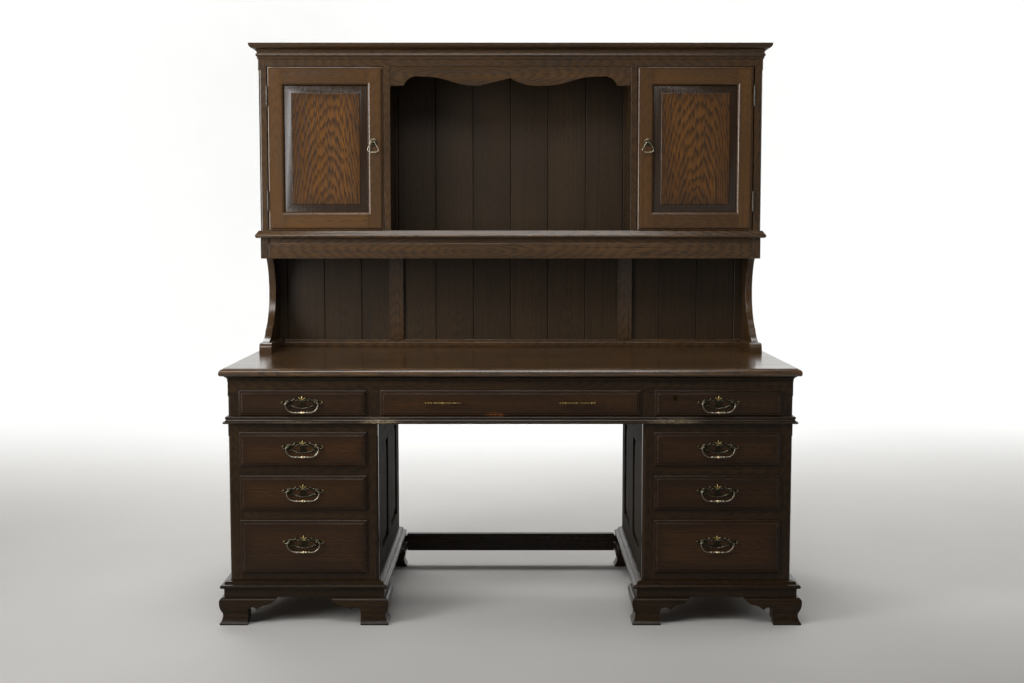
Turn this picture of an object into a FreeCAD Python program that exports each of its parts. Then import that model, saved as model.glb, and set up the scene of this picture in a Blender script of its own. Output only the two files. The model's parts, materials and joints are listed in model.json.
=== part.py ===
import FreeCAD, Part
import math
import os
import Sketcher

# A pedestal desk with a hutch, in millimetres: X to the right, Y to the back, Z up.
# The origin lies on the floor under the middle of the whole piece.

SIZES = {
    # stock and fits
    "cut_overrun": 2.0,
    "slide_gap": 0.3,
    "pin_gap": 0.05,
    "frame_stock": 20.0,
    "panel_stock": 12.0,
    "back_stock": 10.0,
    # desktop and the moulding under it
    "top_width": 1630.0,
    "top_depth": 750.0,
    "top_thickness": 21.0,
    "top_overhang": 24.0,
    "top_edge": 11.0,
    "bed_height": 17.0,
    "bed_reach": 9.0,
    # case of the desk
    "top_end_overhang": 21.0,
    "top_back_overhang": 24.0,
    "frieze_rail": 48.5,
    "frieze_opening": 67.5,
    "frieze_mullion": 54.0,
    "waist_thickness": 20.0,
    "waist_overhang": 13.0,
    "pedestal_width": 421.0,
    "stile_width": 39.0,
    "top_rail": 31.0,
    "upper_opening": 82.0,
    "cross_rail": 41.0,
    "middle_opening": 86.0,
    "lower_opening": 138.0,
    "bottom_rail": 27.0,
    "runner_thickness": 18.0,
    "guide_height": 22.0,
    # rounded front corners, stopped below the mouldings
    "arris_round": 8.0,
    "arris_stop": 35.0,
    "frieze_arris_stop": 10.0,
    # framed sides of the pedestals
    "side_stile": 85.0,
    "side_muntin": 100.0,
    "side_top_rail": 84.0,
    "side_bottom_rail": 60.0,
    "side_field_bevel": 28.0,
    "side_field_rise": 6.0,
    "side_panel_sink": 3.0,
    # plinth and feet
    "plinth_height": 47.0,
    "plinth_reach": 24.0,
    "plinth_inner": 30.0,
    "foot_height": 78.0,
    "foot_reach": 29.0,
    "foot_inner": 6.0,
    "foot_length": 165.0,
    "foot_post": 80.0,
    "foot_block": 42.0,
    "foot_block_lift": 5.0,
    "stretcher_bottom": 48.0,
    "stretcher_lower": 29.0,
    "stretcher_upper": 29.0,
    "stretcher_stock": 20.0,
    "stretcher_step": 4.0,
    "stretcher_set_back": 6.0,
    # drawers
    "lip_overlap": 8.0,
    "lip_thickness": 9.0,
    "lip_round": 5.0,
    "field_inset": 9.0,
    "field_rise": 2.5,
    "front_plug": 11.0,
    "drawer_side": 12.0,
    "drawer_bottom": 6.0,
    "drawer_rear_gap": 131.0,
    "drawer_back_drop": 12.0,
    # lock of the right drawer in the frieze, placed from the drawer's inner end
    "lock_place": 51.0,
    "lock_drop": 13.5,
    "lock_barrel": 7.5,
    "lock_proud": 0.5,
    "key_width": 2.4,
    "key_height": 11.0,
    "key_depth": 6.0,
    "cam_reach": 18.0,
    "cam_width": 7.0,
    "cam_stock": 2.5,
    "cam_clear": 1.0,
    # swinging handles
    "plate_width": 122.0,
    "plate_rise": 21.0,
    "plate_drop": 18.0,
    "plate_thickness": 2.0,
    "post_spacing": 78.0,
    "post_head": 3.6,
    "post_neck": 2.6,
    "post_foot": 6.0,
    "post_foot_height": 2.0,
    "post_stand": 7.5,
    "bail_wire": 2.0,
    "bail_width": 96.0,
    "bail_drop": 27.0,
    "bail_corner": 3.0,
    "bail_ball": 4.0,
    "bail_bead": 2.7,
    "bail_swelling": 3.5,
    "bail_bead_spacing": 8.2,
    "handle_lift": 7.0,
    "lower_handle_lift": 14.0,
    # bar pulls of the middle drawer
    "pull_length": 102.0,
    "pull_rod": 2.4,
    "pull_bead": 4.0,
    "pull_bead_spacing": 8.0,
    "pull_post": 2.6,
    "pull_stand": 13.0,
    "pull_post_inset": 18.0,
    "pull_place": 188.0,
    # hutch: shaped brackets and shelf
    "hutch_width": 1574.0,
    "hutch_depth": 219.0,
    "hutch_side": 22.0,
    "hutch_stile": 25.0,
    "hutch_frame": 18.0,
    "hutch_back": 12.0,
    "back_board": 123.0,
    "board_groove": 2.0,
    "shoe_width": 38.0,
    "shoe_height": 31.0,
    "shoe_length": 260.0,
    "shoe_round": 18.0,
    "bracket_height": 329.0,
    "bracket_shoulder": 93.0,
    "bracket_hollow": 55.0,
    "ankle_set": 75.0,
    "ankle_height": 41.0,
    "ankle_step": 7.0,
    "ankle_hollow": 6.0,
    "toe_set": 10.0,
    "apron_height": 65.0,
    "apron_step_height": 18.0,
    "apron_step": 4.0,
    "shelf_thickness": 23.0,
    "shelf_overhang": 15.0,
    "batten_width": 46.0,
    "batten_stock": 10.0,
    "batten_place": 377.0,
    "base_strip_height": 23.0,
    "base_strip_step": 4.0,
    # hutch: upper case
    "door_opening": 510.0,
    "niche_width": 753.0,
    "partition_stock": 20.0,
    "hutch_rail": 23.0,
    "hutch_top_stock": 18.0,
    "cornice_height": 47.0,
    "cornice_reach": 26.0,
    "valance_height": 59.0,
    "valance_flat": 43.0,
    "valance_peak": 28.0,
    "valance_cusp": 24.0,
    "valance_set_back": 2.0,
    # doors
    "door_gap": 1.5,
    "door_proud": 8.0,
    "door_round": 6.0,
    "door_fillet": 1.5,
    "door_step": 8.5,
    "door_stock": 20.0,
    "door_stile": 50.0,
    "door_rail": 57.0,
    "sticking_width": 8.0,
    "sticking_depth": 7.0,
    "door_field_bevel": 24.0,
    "door_field_rise": 7.0,
    "door_panel_sink": 3.0,
    "catch_width": 16.0,
    "catch_length": 40.0,
    "catch_depth": 14.0,
    # butt hinges
    "hinge_height": 62.0,
    "hinge_inset": 59.0,
    "hinge_leaf": 1.5,
    "hinge_leaf_gap": 0.6,
    "hinge_leaf_width": 15.0,
    "hinge_knuckle": 2.8,
    "hinge_pin": 1.3,
    "hinge_end_gap": 0.3,
    # ring pulls
    "ring_inset": 31.0,
    "ring_height": 273.0,
    "ring_plate": 12.5,
    "ring_plate_thickness": 2.5,
    "ring_post_stand": 8.0,
    "ring_eye": 2.6,
    "ring_wire": 1.6,
    "ring_width": 37.0,
    "ring_drop": 31.0,
    "ring_bow": 8.5,
    "ring_corner": 3.0,
}

# Outlines of the moulded edges: share of the reach, share of the height, and share
# of the reach by which the run to the next point bulges (plus to the left of the run).
TOP_EDGE_SHARES = [
    (0.72, 0.0, 0.0), (1.0, 0.16, 0.0), (1.0, 0.34, -0.3), (0.12, 0.9, 0.0), (0.0, 0.9, 0.0), (0.0, 1.0, 0.0),
]
BED_SHARES = [(0.15, 0.0, 0.35), (0.9, 0.8, 0.0), (1.0, 0.8, 0.0), (1.0, 1.0, 0.0)]
WAIST_SHARES = [
    (0.8, 0.0, -0.12), (1.0, 0.28, 0.12), (0.42, 0.63, 0.0), (0.52, 0.67, -0.09), (0.48, 1.0, 0.0),
]
PLINTH_SHARES = [
    (0.67, 0.0, 0.0), (0.67, 0.44, 0.1), (1.0, 0.55, -0.08), (1.0, 0.75, 0.0), (0.62, 0.8, 0.0),
    (0.58, 0.93, 0.0), (0.0, 1.0, 0.0),
]
FOOT_SHARES = [
    (0.97, 0.0, 0.0), (0.97, 0.06, 0.12), (0.7, 0.42, -0.07), (1.0, 0.78, 0.0), (1.0, 0.86, -0.07),
    (0.72, 1.0, 0.0),
]
SHELF_SHARES = [
    (0.72, 0.0, -0.06), (1.0, 0.2, -0.04), (0.97, 0.42, 0.0), (0.36, 0.94, 0.0), (0.28, 1.0, 0.0),
]
CORNICE_SHARES = [
    (0.1, 0.0, 0.0), (0.1, 0.16, 0.0), (0.2, 0.16, -0.05), (0.2, 0.36, 0.0), (0.12, 0.36, 0.1),
    (0.52, 0.66, 0.0), (0.62, 0.66, -0.09), (1.0, 0.94, 0.0), (1.0, 1.0, 0.0),
]

# Half of the pierced handle plate, from the tip of the finial round to the belly: shares
# of half the width, of the rise or the drop, and of the rise for the bulge of a run.
PLATE_SHARES = [
    (0.0, 1.0, -0.03), (0.05, 0.78, 0.06), (0.15, 0.68, -0.08), (0.12, 0.44, 0.06),
    (0.34, 0.42, -0.04), (0.38, 0.66, -0.05), (0.44, 0.4, 0.06), (0.62, 0.44, -0.08),
    (0.76, 0.14, 0.14), (0.97, 0.12, -0.05), (0.98, -0.04, -0.16), (0.8, -0.3, 0.08),
    (0.68, -0.5, 0.1), (0.36, -0.78, -0.06), (0.0, -1.0, 0.0),
]
PLATE_HOLE_SHARES = [(0.12, 0.16, 0.05), (0.42, 0.2, 0.05), (0.52, -0.3, 0.06), (0.2, -0.55, 0.05)]

# Scrolled lower outline of a bracket foot, from the foot of the post to the end:
# share of the length past the post, share of the height, bulge as a share of the height.
FOOT_SCROLL_SHARES = [
    (0.0, 0.0, 0.0), (0.0, 0.58, 0.09), (0.32, 0.55, 0.04), (0.68, 0.75, -0.03), (0.96, 0.97, 0.0),
    (1.0, 1.0, 0.0),
]

# Lower edge of the valance from its flat end to the middle: share of half the niche, share of
# the peak's height, and share of it for the bulge of a run.
VALANCE_RISE_SHARE = -0.4
VALANCE_SHARES = [(0.753, 1.0, -0.16), (0.5, 0.5, 0.16), (0.256, 0.0, 0.3)]

# Rises of arcs as shares of their radius, and where a ball meets its wire
QUARTER_RISE_SHARE = 1 - math.cos(math.pi / 4)
BALL_RISE_SHARE = 0.13
BALL_JOIN_SHARE = 0.87
HEAD_JOIN_SHARE = 0.7
LEAST_BOARD_SHARE = 0.2
STICKING_RISE_SHARE = 0.18
STRIP_LEDGE_SHARE = 0.6
RING_ARM_TURN = 120.0


class Size:
    """A length: its number and the expression over the sheet's cells that gives it."""

    def __init__(self, value, text):
        self.value = value
        self.text = text

    def __add__(self, other):
        other = as_size(other)
        return Size(self.value + other.value, f"({self.text} + {other.text})")

    def __sub__(self, other):
        other = as_size(other)
        return Size(self.value - other.value, f"({self.text} - {other.text})")

    def __mul__(self, other):
        other = as_size(other)
        return Size(self.value * other.value, f"({self.text} * {other.text})")

    def __truediv__(self, other):
        other = as_size(other)
        return Size(self.value / other.value, f"({self.text} / {other.text})")

    def __neg__(self):
        return Size(-self.value, f"(0 - {self.text})")


def as_size(number):
    """Take a Size as it is, and a plain factor or zero as a Size."""
    if isinstance(number, Size):
        return number
    return Size(float(number), repr(float(number)))


class SizeSheet:
    """The spreadsheet of driving dimensions, read as attributes."""

    def __init__(self, document, sizes):
        cells = document.addObject("Spreadsheet::Sheet", "Sizes")
        for row, (alias, value) in enumerate(sizes.items(), start=1):
            cells.set(f"A{row}", alias)
            cells.set(f"B{row}", str(value))
            cells.setAlias(f"B{row}", alias)
            setattr(self, alias, Size(value, f"Sizes.{alias}"))


doc = FreeCAD.newDocument("pedestal_desk")
s = SizeSheet(doc, SIZES)
doc.recompute()
NODES = {}


def bind(thing, **properties):
    """Bind properties to sizes; a double underscore stands for the dot of a sub-property."""
    for name, value in properties.items():
        path = name.replace("__", ".")
        thing.setExpression(path, as_size(value).text)


def place(thing, x=0, y=0, z=0):
    bind(thing, Placement__Base__x=x, Placement__Base__y=y, Placement__Base__z=z)
    return thing


def board(x, y, z):
    """A plain board between two values in each direction."""
    box = doc.addObject("Part::Box", "board")
    bind(box, Length=as_size(x[1]) - x[0], Width=as_size(y[1]) - y[0], Height=as_size(z[1]) - z[0])
    return place(box, x[0], y[0], z[0])


def arc_between(start, end, rise):
    """The arc from start to end that bulges by rise to the left of the run, and whether it runs backwards."""
    chord = FreeCAD.Vector(end[0].value - start[0].value, end[1].value - start[1].value, 0)
    bulge = abs(rise.value)
    radius = (chord.Length ** 2 / 4 + bulge ** 2) / (2 * bulge)
    backwards = rise.value > 0
    left = FreeCAD.Vector(-chord.y, chord.x, 0).normalize()
    side = left if backwards else -left
    middle = FreeCAD.Vector(start[0].value, start[1].value, 0) + chord / 2
    centre = middle + side * (bulge - radius)
    first, last = (end, start) if backwards else (start, end)
    turn = [math.atan2(p[1].value - centre.y, p[0].value - centre.x) for p in (first, last)]
    circle = Part.Circle(centre, FreeCAD.Vector(0, 0, 1), radius)
    return Part.ArcOfCircle(circle, turn[0], turn[1]), backwards


def arc_radius(start, end, rise):
    """The radius, as a size, of an arc given by its ends and its rise."""
    across = end[0] - start[0]
    along = end[1] - start[1]
    if rise.value < 0:
        rise = -rise
    return ((across * across + along * along) / 4 + rise * rise) / (rise * 2)


def draw_run(sketch, points, closed):
    """Draw a run through points (x, y) or (x, y, rise), every point tied to its sizes.

    A rise makes the stretch to the next point an arc.
    """
    corners = [(as_size(p[0]), as_size(p[1])) for p in points]
    rises = [as_size(p[2]) if len(p) > 2 else as_size(0) for p in points]
    first = sketch.GeometryCount
    stretches = len(corners) if closed else len(corners) - 1
    geometry = []
    ends = []
    for index in range(stretches):
        start = corners[index]
        end = corners[(index + 1) % len(corners)]
        backwards = False
        if rises[index].value == 0:
            tips = [FreeCAD.Vector(x.value, y.value, 0) for x, y in (start, end)]
            geometry.append(Part.LineSegment(*tips))
        else:
            arc, backwards = arc_between(start, end, rises[index])
            geometry.append(arc)
        ends.append((2, 1) if backwards else (1, 2))
    sketch.addGeometry(geometry, False)
    constraints = []
    bound = []

    def tie(corner, number, end):
        for kind, size in (("DistanceX", corner[0]), ("DistanceY", corner[1])):
            bound.append((sketch.ConstraintCount + len(constraints), size))
            constraints.append(Sketcher.Constraint(kind, -1, 1, number, end, size.value))

    for index in range(stretches):
        here = first + index
        following = (index + 1) % len(corners)
        tie(corners[index], here, ends[index][0])
        if following < stretches:
            constraints.append(
                Sketcher.Constraint("Coincident", here, ends[index][1], first + following, ends[following][0])
            )
        else:
            tie(corners[following], here, ends[index][1])
        if rises[index].value != 0:
            radius = arc_radius(corners[index], corners[following], rises[index])
            bound.append((sketch.ConstraintCount + len(constraints), radius))
            constraints.append(Sketcher.Constraint("Radius", here, radius.value))
    sketch.addConstraint(constraints)
    for number, size in bound:
        sketch.setExpression(f"Constraints[{number}]", size.text)


def draw_outline(sketch, points):
    draw_run(sketch, points, True)


def draw_circle(sketch, x, y, radius):
    """Draw a circle tied to its centre and radius."""
    x, y, radius = as_size(x), as_size(y), as_size(radius)
    circle = Part.Circle(FreeCAD.Vector(x.value, y.value, 0), FreeCAD.Vector(0, 0, 1), radius.value)
    number = sketch.addGeometry(circle, False)
    for kind, places, size in (
        ("DistanceX", (-1, 1, number, 3), x),
        ("DistanceY", (-1, 1, number, 3), y),
        ("Radius", (number,), radius),
    ):
        added = sketch.addConstraint(Sketcher.Constraint(kind, *places, size.value))
        sketch.setExpression(f"Constraints[{added}]", size.text)


def new_sketch(body, plane):
    """A sketch on one of the body's own origin planes: XY, XZ (x right, y up) or YZ (x back, y up)."""
    sketch = body.newObject("Sketcher::SketchObject", "sketch")
    support = [part for part in body.Origin.OriginFeatures if part.Role == f"{plane}_Plane"][0]
    sketch.AttachmentSupport = [(support, "")]
    sketch.MapMode = "FlatFace"
    return sketch


def prism(plane, points, start, end, holes=()):
    """A body padded from an outline on a plane, between two places along the plane's axis."""
    body = doc.addObject("PartDesign::Body", "prism")
    sketch = new_sketch(body, plane)
    draw_outline(sketch, points)
    for hole in holes:
        draw_outline(sketch, hole)
    pad = body.newObject("PartDesign::Pad", "pad")
    pad.Profile = sketch
    pad.Reversed = plane == "XZ"
    start = as_size(start)
    bind(pad, Length=as_size(end) - start)
    axis = {"XY": "z", "XZ": "y", "YZ": "x"}[plane]
    return place(body, **{axis: start})


def common(first, second):
    result = doc.addObject("Part::Common", "common")
    result.Base = first
    result.Tool = second
    return result


def cut(base, tool):
    result = doc.addObject("Part::Cut", "cut")
    result.Base = base
    result.Tool = tool
    return result


def fuse(*shapes):
    result = doc.addObject("Part::MultiFuse", "fuse")
    result.Shapes = list(shapes)
    return result


def mirror(source, normal, x=0, y=0):
    """The mirror image of a piece in an upright plane through (x, y)."""
    image = doc.addObject("Part::Mirroring", "mirror")
    image.Source = source
    image.Normal = FreeCAD.Vector(*normal)
    bind(image, Base__x=x, Base__y=y)
    return image


LEFT_RIGHT = (1, 0, 0)
FRONT_BACK = (0, 1, 0)
DIAGONAL = (1, -1, 0)


def gather(pieces):
    result = doc.addObject("Part::Compound", "group")
    result.Links = list(pieces)
    return result


def node(label, *pieces):
    """Name one piece, or a group of separate pieces, as a node of the part."""
    result = gather(pieces)
    result.Label = label
    NODES[label] = result
    return result


def both_sides(pieces):
    """Pieces of the left side, and their mirror images on the right."""
    return list(pieces) + [mirror(piece, LEFT_RIGHT) for piece in pieces]


def copy_at(label, source, x, y, z):
    """A node that repeats a piece at another place."""
    return place(node(label, source), x, y, z)


def edge_run(shares, reach, bottom, height):
    """An edge moulding from its bottom up, as (out, height, rise) measured from the body line."""
    return [(reach * out, bottom + height * up, reach * rise) for out, up, rise in shares]


def turned(run):
    """The same run of points walked the other way and mirrored, as on the far edge of a board."""
    rises = [rise for _, _, rise in run]
    back = []
    for index in range(len(run) - 1, -1, -1):
        out, up, _ = run[index]
        back.append((-out, up, rises[index - 1] if index else as_size(0)))
    return back


def moved(run, place_of):
    """Points of a run with their outward distance turned into a coordinate."""
    return [(place_of(out), up, rise) for out, up, rise in run]


def moulded_board(half_width, front, back, bottom, height, shares, reach):
    """A board moulded along its front and both ends, mitred at the corners, square at the back."""
    run = edge_run(shares, reach, bottom, height)
    body_half = half_width - reach
    right = moved(run, lambda out: body_half + out)
    left = [(x, z, rise) for x, z, rise in turned(right)]
    across = prism("XZ", right + left, front - s.cut_overrun, back)
    front_run = [(front + reach + out, z, rise) for out, z, rise in turned(run)]
    depth = [(back, bottom), (back, bottom + height)]
    along = prism("YZ", depth + front_run, -half_width - s.cut_overrun, half_width + s.cut_overrun)
    return common(across, along)


def mitred_strips(x, y, inner, shares, reach, bottom, height):
    """Moulding strips along the front and both sides of a case, mitred at the front corners."""
    top = bottom + height
    past = reach + s.cut_overrun
    run = edge_run(shares, reach, bottom, height)
    section = [(-inner, top), (-inner, bottom)]
    front_section = [(y[0] - out, z) for out, z in section]
    front_run = [(y[0] - out, z, -rise) for out, z, rise in run]
    front_strip = prism("YZ", front_section + front_run, x[0] - past, x[1] + past)
    front_plan = [
        (x[0] - past, y[0] - past),
        (x[1] + past, y[0] - past),
        (x[1] - inner, y[0] + inner),
        (x[0] + inner, y[0] + inner),
    ]
    front = common(front_strip, prism("XY", front_plan, bottom, top))
    side_section = [(x[0] - out, z) for out, z in section]
    side_run = [(x[0] - out, z, -rise) for out, z, rise in run]
    side_strip = prism("XZ", side_section + side_run, y[0] - past, y[1])
    side_plan = [
        (x[0] - past, y[0] - past),
        (x[0] + inner, y[0] + inner),
        (x[0] + inner, y[1]),
        (x[0] - past, y[1]),
    ]
    side = common(side_strip, prism("XY", side_plan, bottom, top))
    return [front, side, mirror(side, LEFT_RIGHT, (x[0] + x[1]) / 2)]


def fielded(plane, across, up, edge, low_edge=None):
    """A board worked alike along all its edges: crossed sections of (inset, depth, rise) points.

    The plane is XZ for a board that faces the front, and YZ for one that faces a side.
    """
    low_edge = low_edge or edge
    flat = [(across[0] + inset, depth, rise) for inset, depth, rise in edge]
    flat += [(across[1] + inset, depth, rise) for inset, depth, rise in turned(edge)]
    if plane == "YZ":
        flat = [(depth, place, -rise) for place, depth, rise in flat]
    level = prism("XY", flat, up[0] - s.cut_overrun, up[1] + s.cut_overrun)
    past = (across[0] - s.cut_overrun, across[1] + s.cut_overrun)
    rising = [(depth, up[0] + inset, -rise) for inset, depth, rise in low_edge]
    rising += [(depth, up[1] + inset, -rise) for inset, depth, rise in turned(edge)]
    if plane == "YZ":
        upright = prism("XZ", rising, *past)
    else:
        upright = prism("YZ", rising, *past)
    return common(level, upright)


def rod(radius, length, direction, x=0, y=0, z=0):
    """A round rod from a point along X, Y or Z."""
    turn = {"x": ((0, 1, 0), 90), "y": ((1, 0, 0), -90), "z": ((0, 0, 1), 0)}[direction]
    result = doc.addObject("Part::Cylinder", "rod")
    bind(result, Radius=radius, Height=length)
    result.Placement.Rotation = FreeCAD.Rotation(FreeCAD.Vector(*turn[0]), turn[1])
    return place(result, x, y, z)


def rounded_stile(outer, inner, depth, height, stop):
    """A stile with its outer front corner rounded from the foot up to a stop."""
    side = 1 if outer.value < inner.value else -1
    section = [
        (outer, depth[1]),
        (inner, depth[1]),
        (inner, depth[0]),
        (outer + s.arris_round * side, depth[0], s.arris_round * (QUARTER_RISE_SHARE * side)),
        (outer, depth[0] + s.arris_round),
    ]
    across = (outer, inner) if side > 0 else (inner, outer)
    stopped = height[1] - stop
    return fuse(prism("XY", section, height[0], stopped), board(across, depth, (stopped, height[1])))


# Heights, from the floor up
plinth_top = s.foot_height + s.plinth_height
lower_sill = plinth_top + s.bottom_rail
lower_head = lower_sill + s.lower_opening
middle_sill = lower_head + s.cross_rail
middle_head = middle_sill + s.middle_opening
upper_sill = middle_head + s.cross_rail
upper_head = upper_sill + s.upper_opening
waist_bottom = upper_head + s.top_rail
waist_top = waist_bottom + s.waist_thickness
frieze_head = waist_top + s.frieze_opening
case_top = frieze_head + s.frieze_rail
desk_top = case_top + s.top_thickness

# Depths: the face of the desk, its back, and the back of the desktop
face = (s.foot_reach + s.top_overhang - s.top_depth) / 2
frame_back = face + s.frame_stock
top_back = face - s.top_overhang + s.top_depth
case_back = top_back - s.top_back_overhang

# Widths of the left half
case_left = s.top_end_overhang - s.top_width / 2
knee_left = case_left + s.pedestal_width
opening_left = case_left + s.stile_width
opening_right = knee_left - s.stile_width
middle_left = opening_right + s.frieze_mullion

# Desktop with its moulded edge, and the coved bed moulding under the overhang
node(
    "desktop",
    moulded_board(
        s.top_width / 2, face - s.top_overhang, top_back,
        case_top, s.top_thickness, TOP_EDGE_SHARES, s.top_edge,
    ),
)
node(
    "bed_moulding",
    *mitred_strips(
        (case_left, -case_left), (face, case_back), as_size(0), BED_SHARES, s.bed_reach,
        case_top - s.bed_height, s.bed_height,
    ),
)

# Frieze: the face frame, the ends and partitions behind it, and the backs
frame_depth = (face, frame_back)
frieze_stiles = [
    rounded_stile(case_left, opening_left, frame_depth, (waist_top, frieze_head), s.frieze_arris_stop),
    board((opening_right, middle_left), frame_depth, (waist_top, frieze_head)),
]
frieze_top = board((case_left, -case_left), frame_depth, (frieze_head, case_top))
node("frieze_face_frame", frieze_top, *both_sides(frieze_stiles))

inside_back = case_back - s.back_stock
mullion_middle = (opening_right + middle_left) / 2
partition = (mullion_middle - s.frame_stock / 2, mullion_middle + s.frame_stock / 2)
frieze_height = (waist_top, case_top)
frieze_ends = [
    board((case_left, case_left + s.frame_stock), (frame_back, case_back), frieze_height),
    board(partition, (frame_back, inside_back), frieze_height),
]
node("frieze_uprights", *both_sides(frieze_ends))

back_depth = (inside_back, case_back)
pedestal_inside = (case_left + s.frame_stock, knee_left - s.frame_stock)
pedestal_back = board(pedestal_inside, back_depth, (plinth_top, waist_bottom))
frieze_back = board((case_left + s.frame_stock, -case_left - s.frame_stock), back_depth, frieze_height)
node("desk_backs", frieze_back, *both_sides([pedestal_back]))

# Waist board: moulded, right across the pedestals and the kneehole
node(
    "waist_board",
    moulded_board(
        s.waist_overhang - case_left, face - s.waist_overhang, case_back,
        waist_bottom, s.waist_thickness, WAIST_SHARES, s.waist_overhang,
    ),
)

# Framed sides of the pedestals, each with two raised panels
side_depth = (frame_back, case_back)
side_height = (plinth_top, waist_bottom)
side_rail_span = (frame_back + s.side_stile, case_back - s.side_stile)
side_middle = (side_rail_span[0] + side_rail_span[1]) / 2
muntin = (side_middle - s.side_muntin / 2, side_middle + s.side_muntin / 2)
panel_height = (plinth_top + s.side_bottom_rail, waist_bottom - s.side_top_rail)
side_sticks = []
side_panels = []
for outer, outwards in ((case_left, 1), (knee_left, -1)):
    inner = outer + s.frame_stock * outwards
    thick = (outer, inner) if outwards > 0 else (inner, outer)
    side_sticks += [
        board(thick, (side_depth[0], side_rail_span[0]), side_height),
        board(thick, (side_rail_span[1], side_depth[1]), side_height),
        board(thick, side_rail_span, (plinth_top, panel_height[0])),
        board(thick, side_rail_span, (panel_height[1], waist_bottom)),
        board(thick, muntin, panel_height),
    ]
    field = outer + s.side_panel_sink * outwards
    ground = field + s.side_field_rise * outwards
    behind = field + s.panel_stock * outwards
    zero = as_size(0)
    edge = [(zero, behind, zero), (zero, ground, zero), (s.side_field_bevel, field, zero)]
    for span in ((side_rail_span[0], muntin[0]), (muntin[1], side_rail_span[1])):
        side_panels.append(fielded("YZ", span, panel_height, edge))
node("pedestal_side_frames", *both_sides(side_sticks))
node("pedestal_side_panels", *both_sides(side_panels))

# Face frames of the pedestals
rail_span = (opening_left, opening_right)
face_sticks = [
    rounded_stile(case_left, opening_left, frame_depth, side_height, s.arris_stop),
    rounded_stile(knee_left, opening_right, frame_depth, side_height, s.arris_stop),
    board(rail_span, frame_depth, (plinth_top, lower_sill)),
    board(rail_span, frame_depth, (lower_head, middle_sill)),
    board(rail_span, frame_depth, (middle_head, upper_sill)),
    board(rail_span, frame_depth, (upper_head, waist_bottom)),
]
node("pedestal_face_frames", *both_sides(face_sticks))

# Bottoms of the pedestals, and the runners and guides of every drawer
inside_depth = (frame_back, inside_back)
bottom = board(pedestal_inside, inside_depth, (plinth_top, lower_sill - s.runner_thickness))
node("pedestal_bottoms", *both_sides([bottom]))

runner_left = (pedestal_inside[0], opening_left + s.drawer_side)
runner_right = (opening_right - s.drawer_side, pedestal_inside[1])
guide_left = (pedestal_inside[0], opening_left)
guide_right = (opening_right, pedestal_inside[1])
runners = []
for sill in (lower_sill, middle_sill, upper_sill):
    for runner, guide in ((runner_left, guide_left), (runner_right, guide_right)):
        runners.append(board(runner, inside_depth, (sill - s.runner_thickness, sill)))
        runners.append(board(guide, inside_depth, (sill, sill + s.guide_height)))
frieze_guide_height = (waist_top, waist_top + s.guide_height)
for guide in (guide_left, (opening_right, partition[0]), (partition[1], middle_left)):
    runners.append(board(guide, inside_depth, frieze_guide_height))
node("drawer_runners", *both_sides(runners))

# Plinths: moulded strips under the front and sides of each pedestal, with a plain back rail
plinth_back = board(
    (case_left + s.plinth_inner, knee_left - s.plinth_inner),
    (case_back - s.plinth_inner, case_back),
    (s.foot_height, plinth_top),
)
plinth = mitred_strips(
    (case_left, knee_left), (face, case_back), s.plinth_inner, PLINTH_SHARES, s.plinth_reach,
    s.foot_height, s.plinth_height,
)
node("plinths", *both_sides(plinth + [plinth_back]))

# Bracket feet: an ogee section cut to a scrolled outline, mitred at the front corners
foot_left = case_left - s.foot_reach
foot_run = edge_run(FOOT_SHARES, s.foot_reach, as_size(0), s.foot_height)
ogee = [(face + s.foot_inner, s.foot_height), (face + s.foot_inner, 0)]
ogee += [(face - out, z, -rise) for out, z, rise in foot_run]
foot_ogee = prism("YZ", ogee, foot_left, foot_left + s.foot_length)
scroll_run = s.foot_length - s.foot_post
scroll = [(foot_left, s.foot_height), (foot_left, 0)]
scroll += [
    (foot_left + s.foot_post + scroll_run * along, s.foot_height * up, s.foot_height * rise)
    for along, up, rise in FOOT_SCROLL_SHARES
]
foot_scroll = prism("XZ", scroll, face - s.foot_reach, face + s.foot_inner)
foot_blank = common(foot_ogee, foot_scroll)
mitre_plan = [
    (foot_left, face - s.foot_reach),
    (foot_left + s.foot_length, face - s.foot_reach),
    (foot_left + s.foot_length, face + s.foot_inner),
    (case_left + s.foot_inner, face + s.foot_inner),
]
front_bracket = common(foot_blank, prism("XY", mitre_plan, as_size(0), s.foot_height))
square_end = board(
    (case_left, foot_left + s.foot_length), (face - s.foot_reach, face + s.foot_inner), (0, s.foot_height)
)
rear_blank = mirror(common(foot_blank, square_end), DIAGONAL, case_left, face)
block_span = (case_left + s.foot_inner, case_left + s.foot_inner + s.foot_block)
block_depth = (face + s.foot_inner, face + s.foot_inner + s.foot_block)
front_block = board(block_span, block_depth, (s.foot_block_lift, s.foot_height))
case_middle = (face + case_back) / 2
rear_board = board(
    (block_span[0], case_left - s.foot_reach + s.foot_post),
    (case_back - s.foot_inner - s.foot_block, case_back),
    (0, s.foot_height),
)
outer_feet = [
    front_bracket,
    mirror(front_bracket, DIAGONAL, case_left, face),
    front_block,
    mirror(rear_blank, FRONT_BACK, y=case_middle),
    rear_board,
]
pedestal_middle = (case_left + knee_left) / 2
inner_feet = [mirror(piece, LEFT_RIGHT, pedestal_middle) for piece in outer_feet]
node("bracket_feet", *both_sides(outer_feet + inner_feet))

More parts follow.
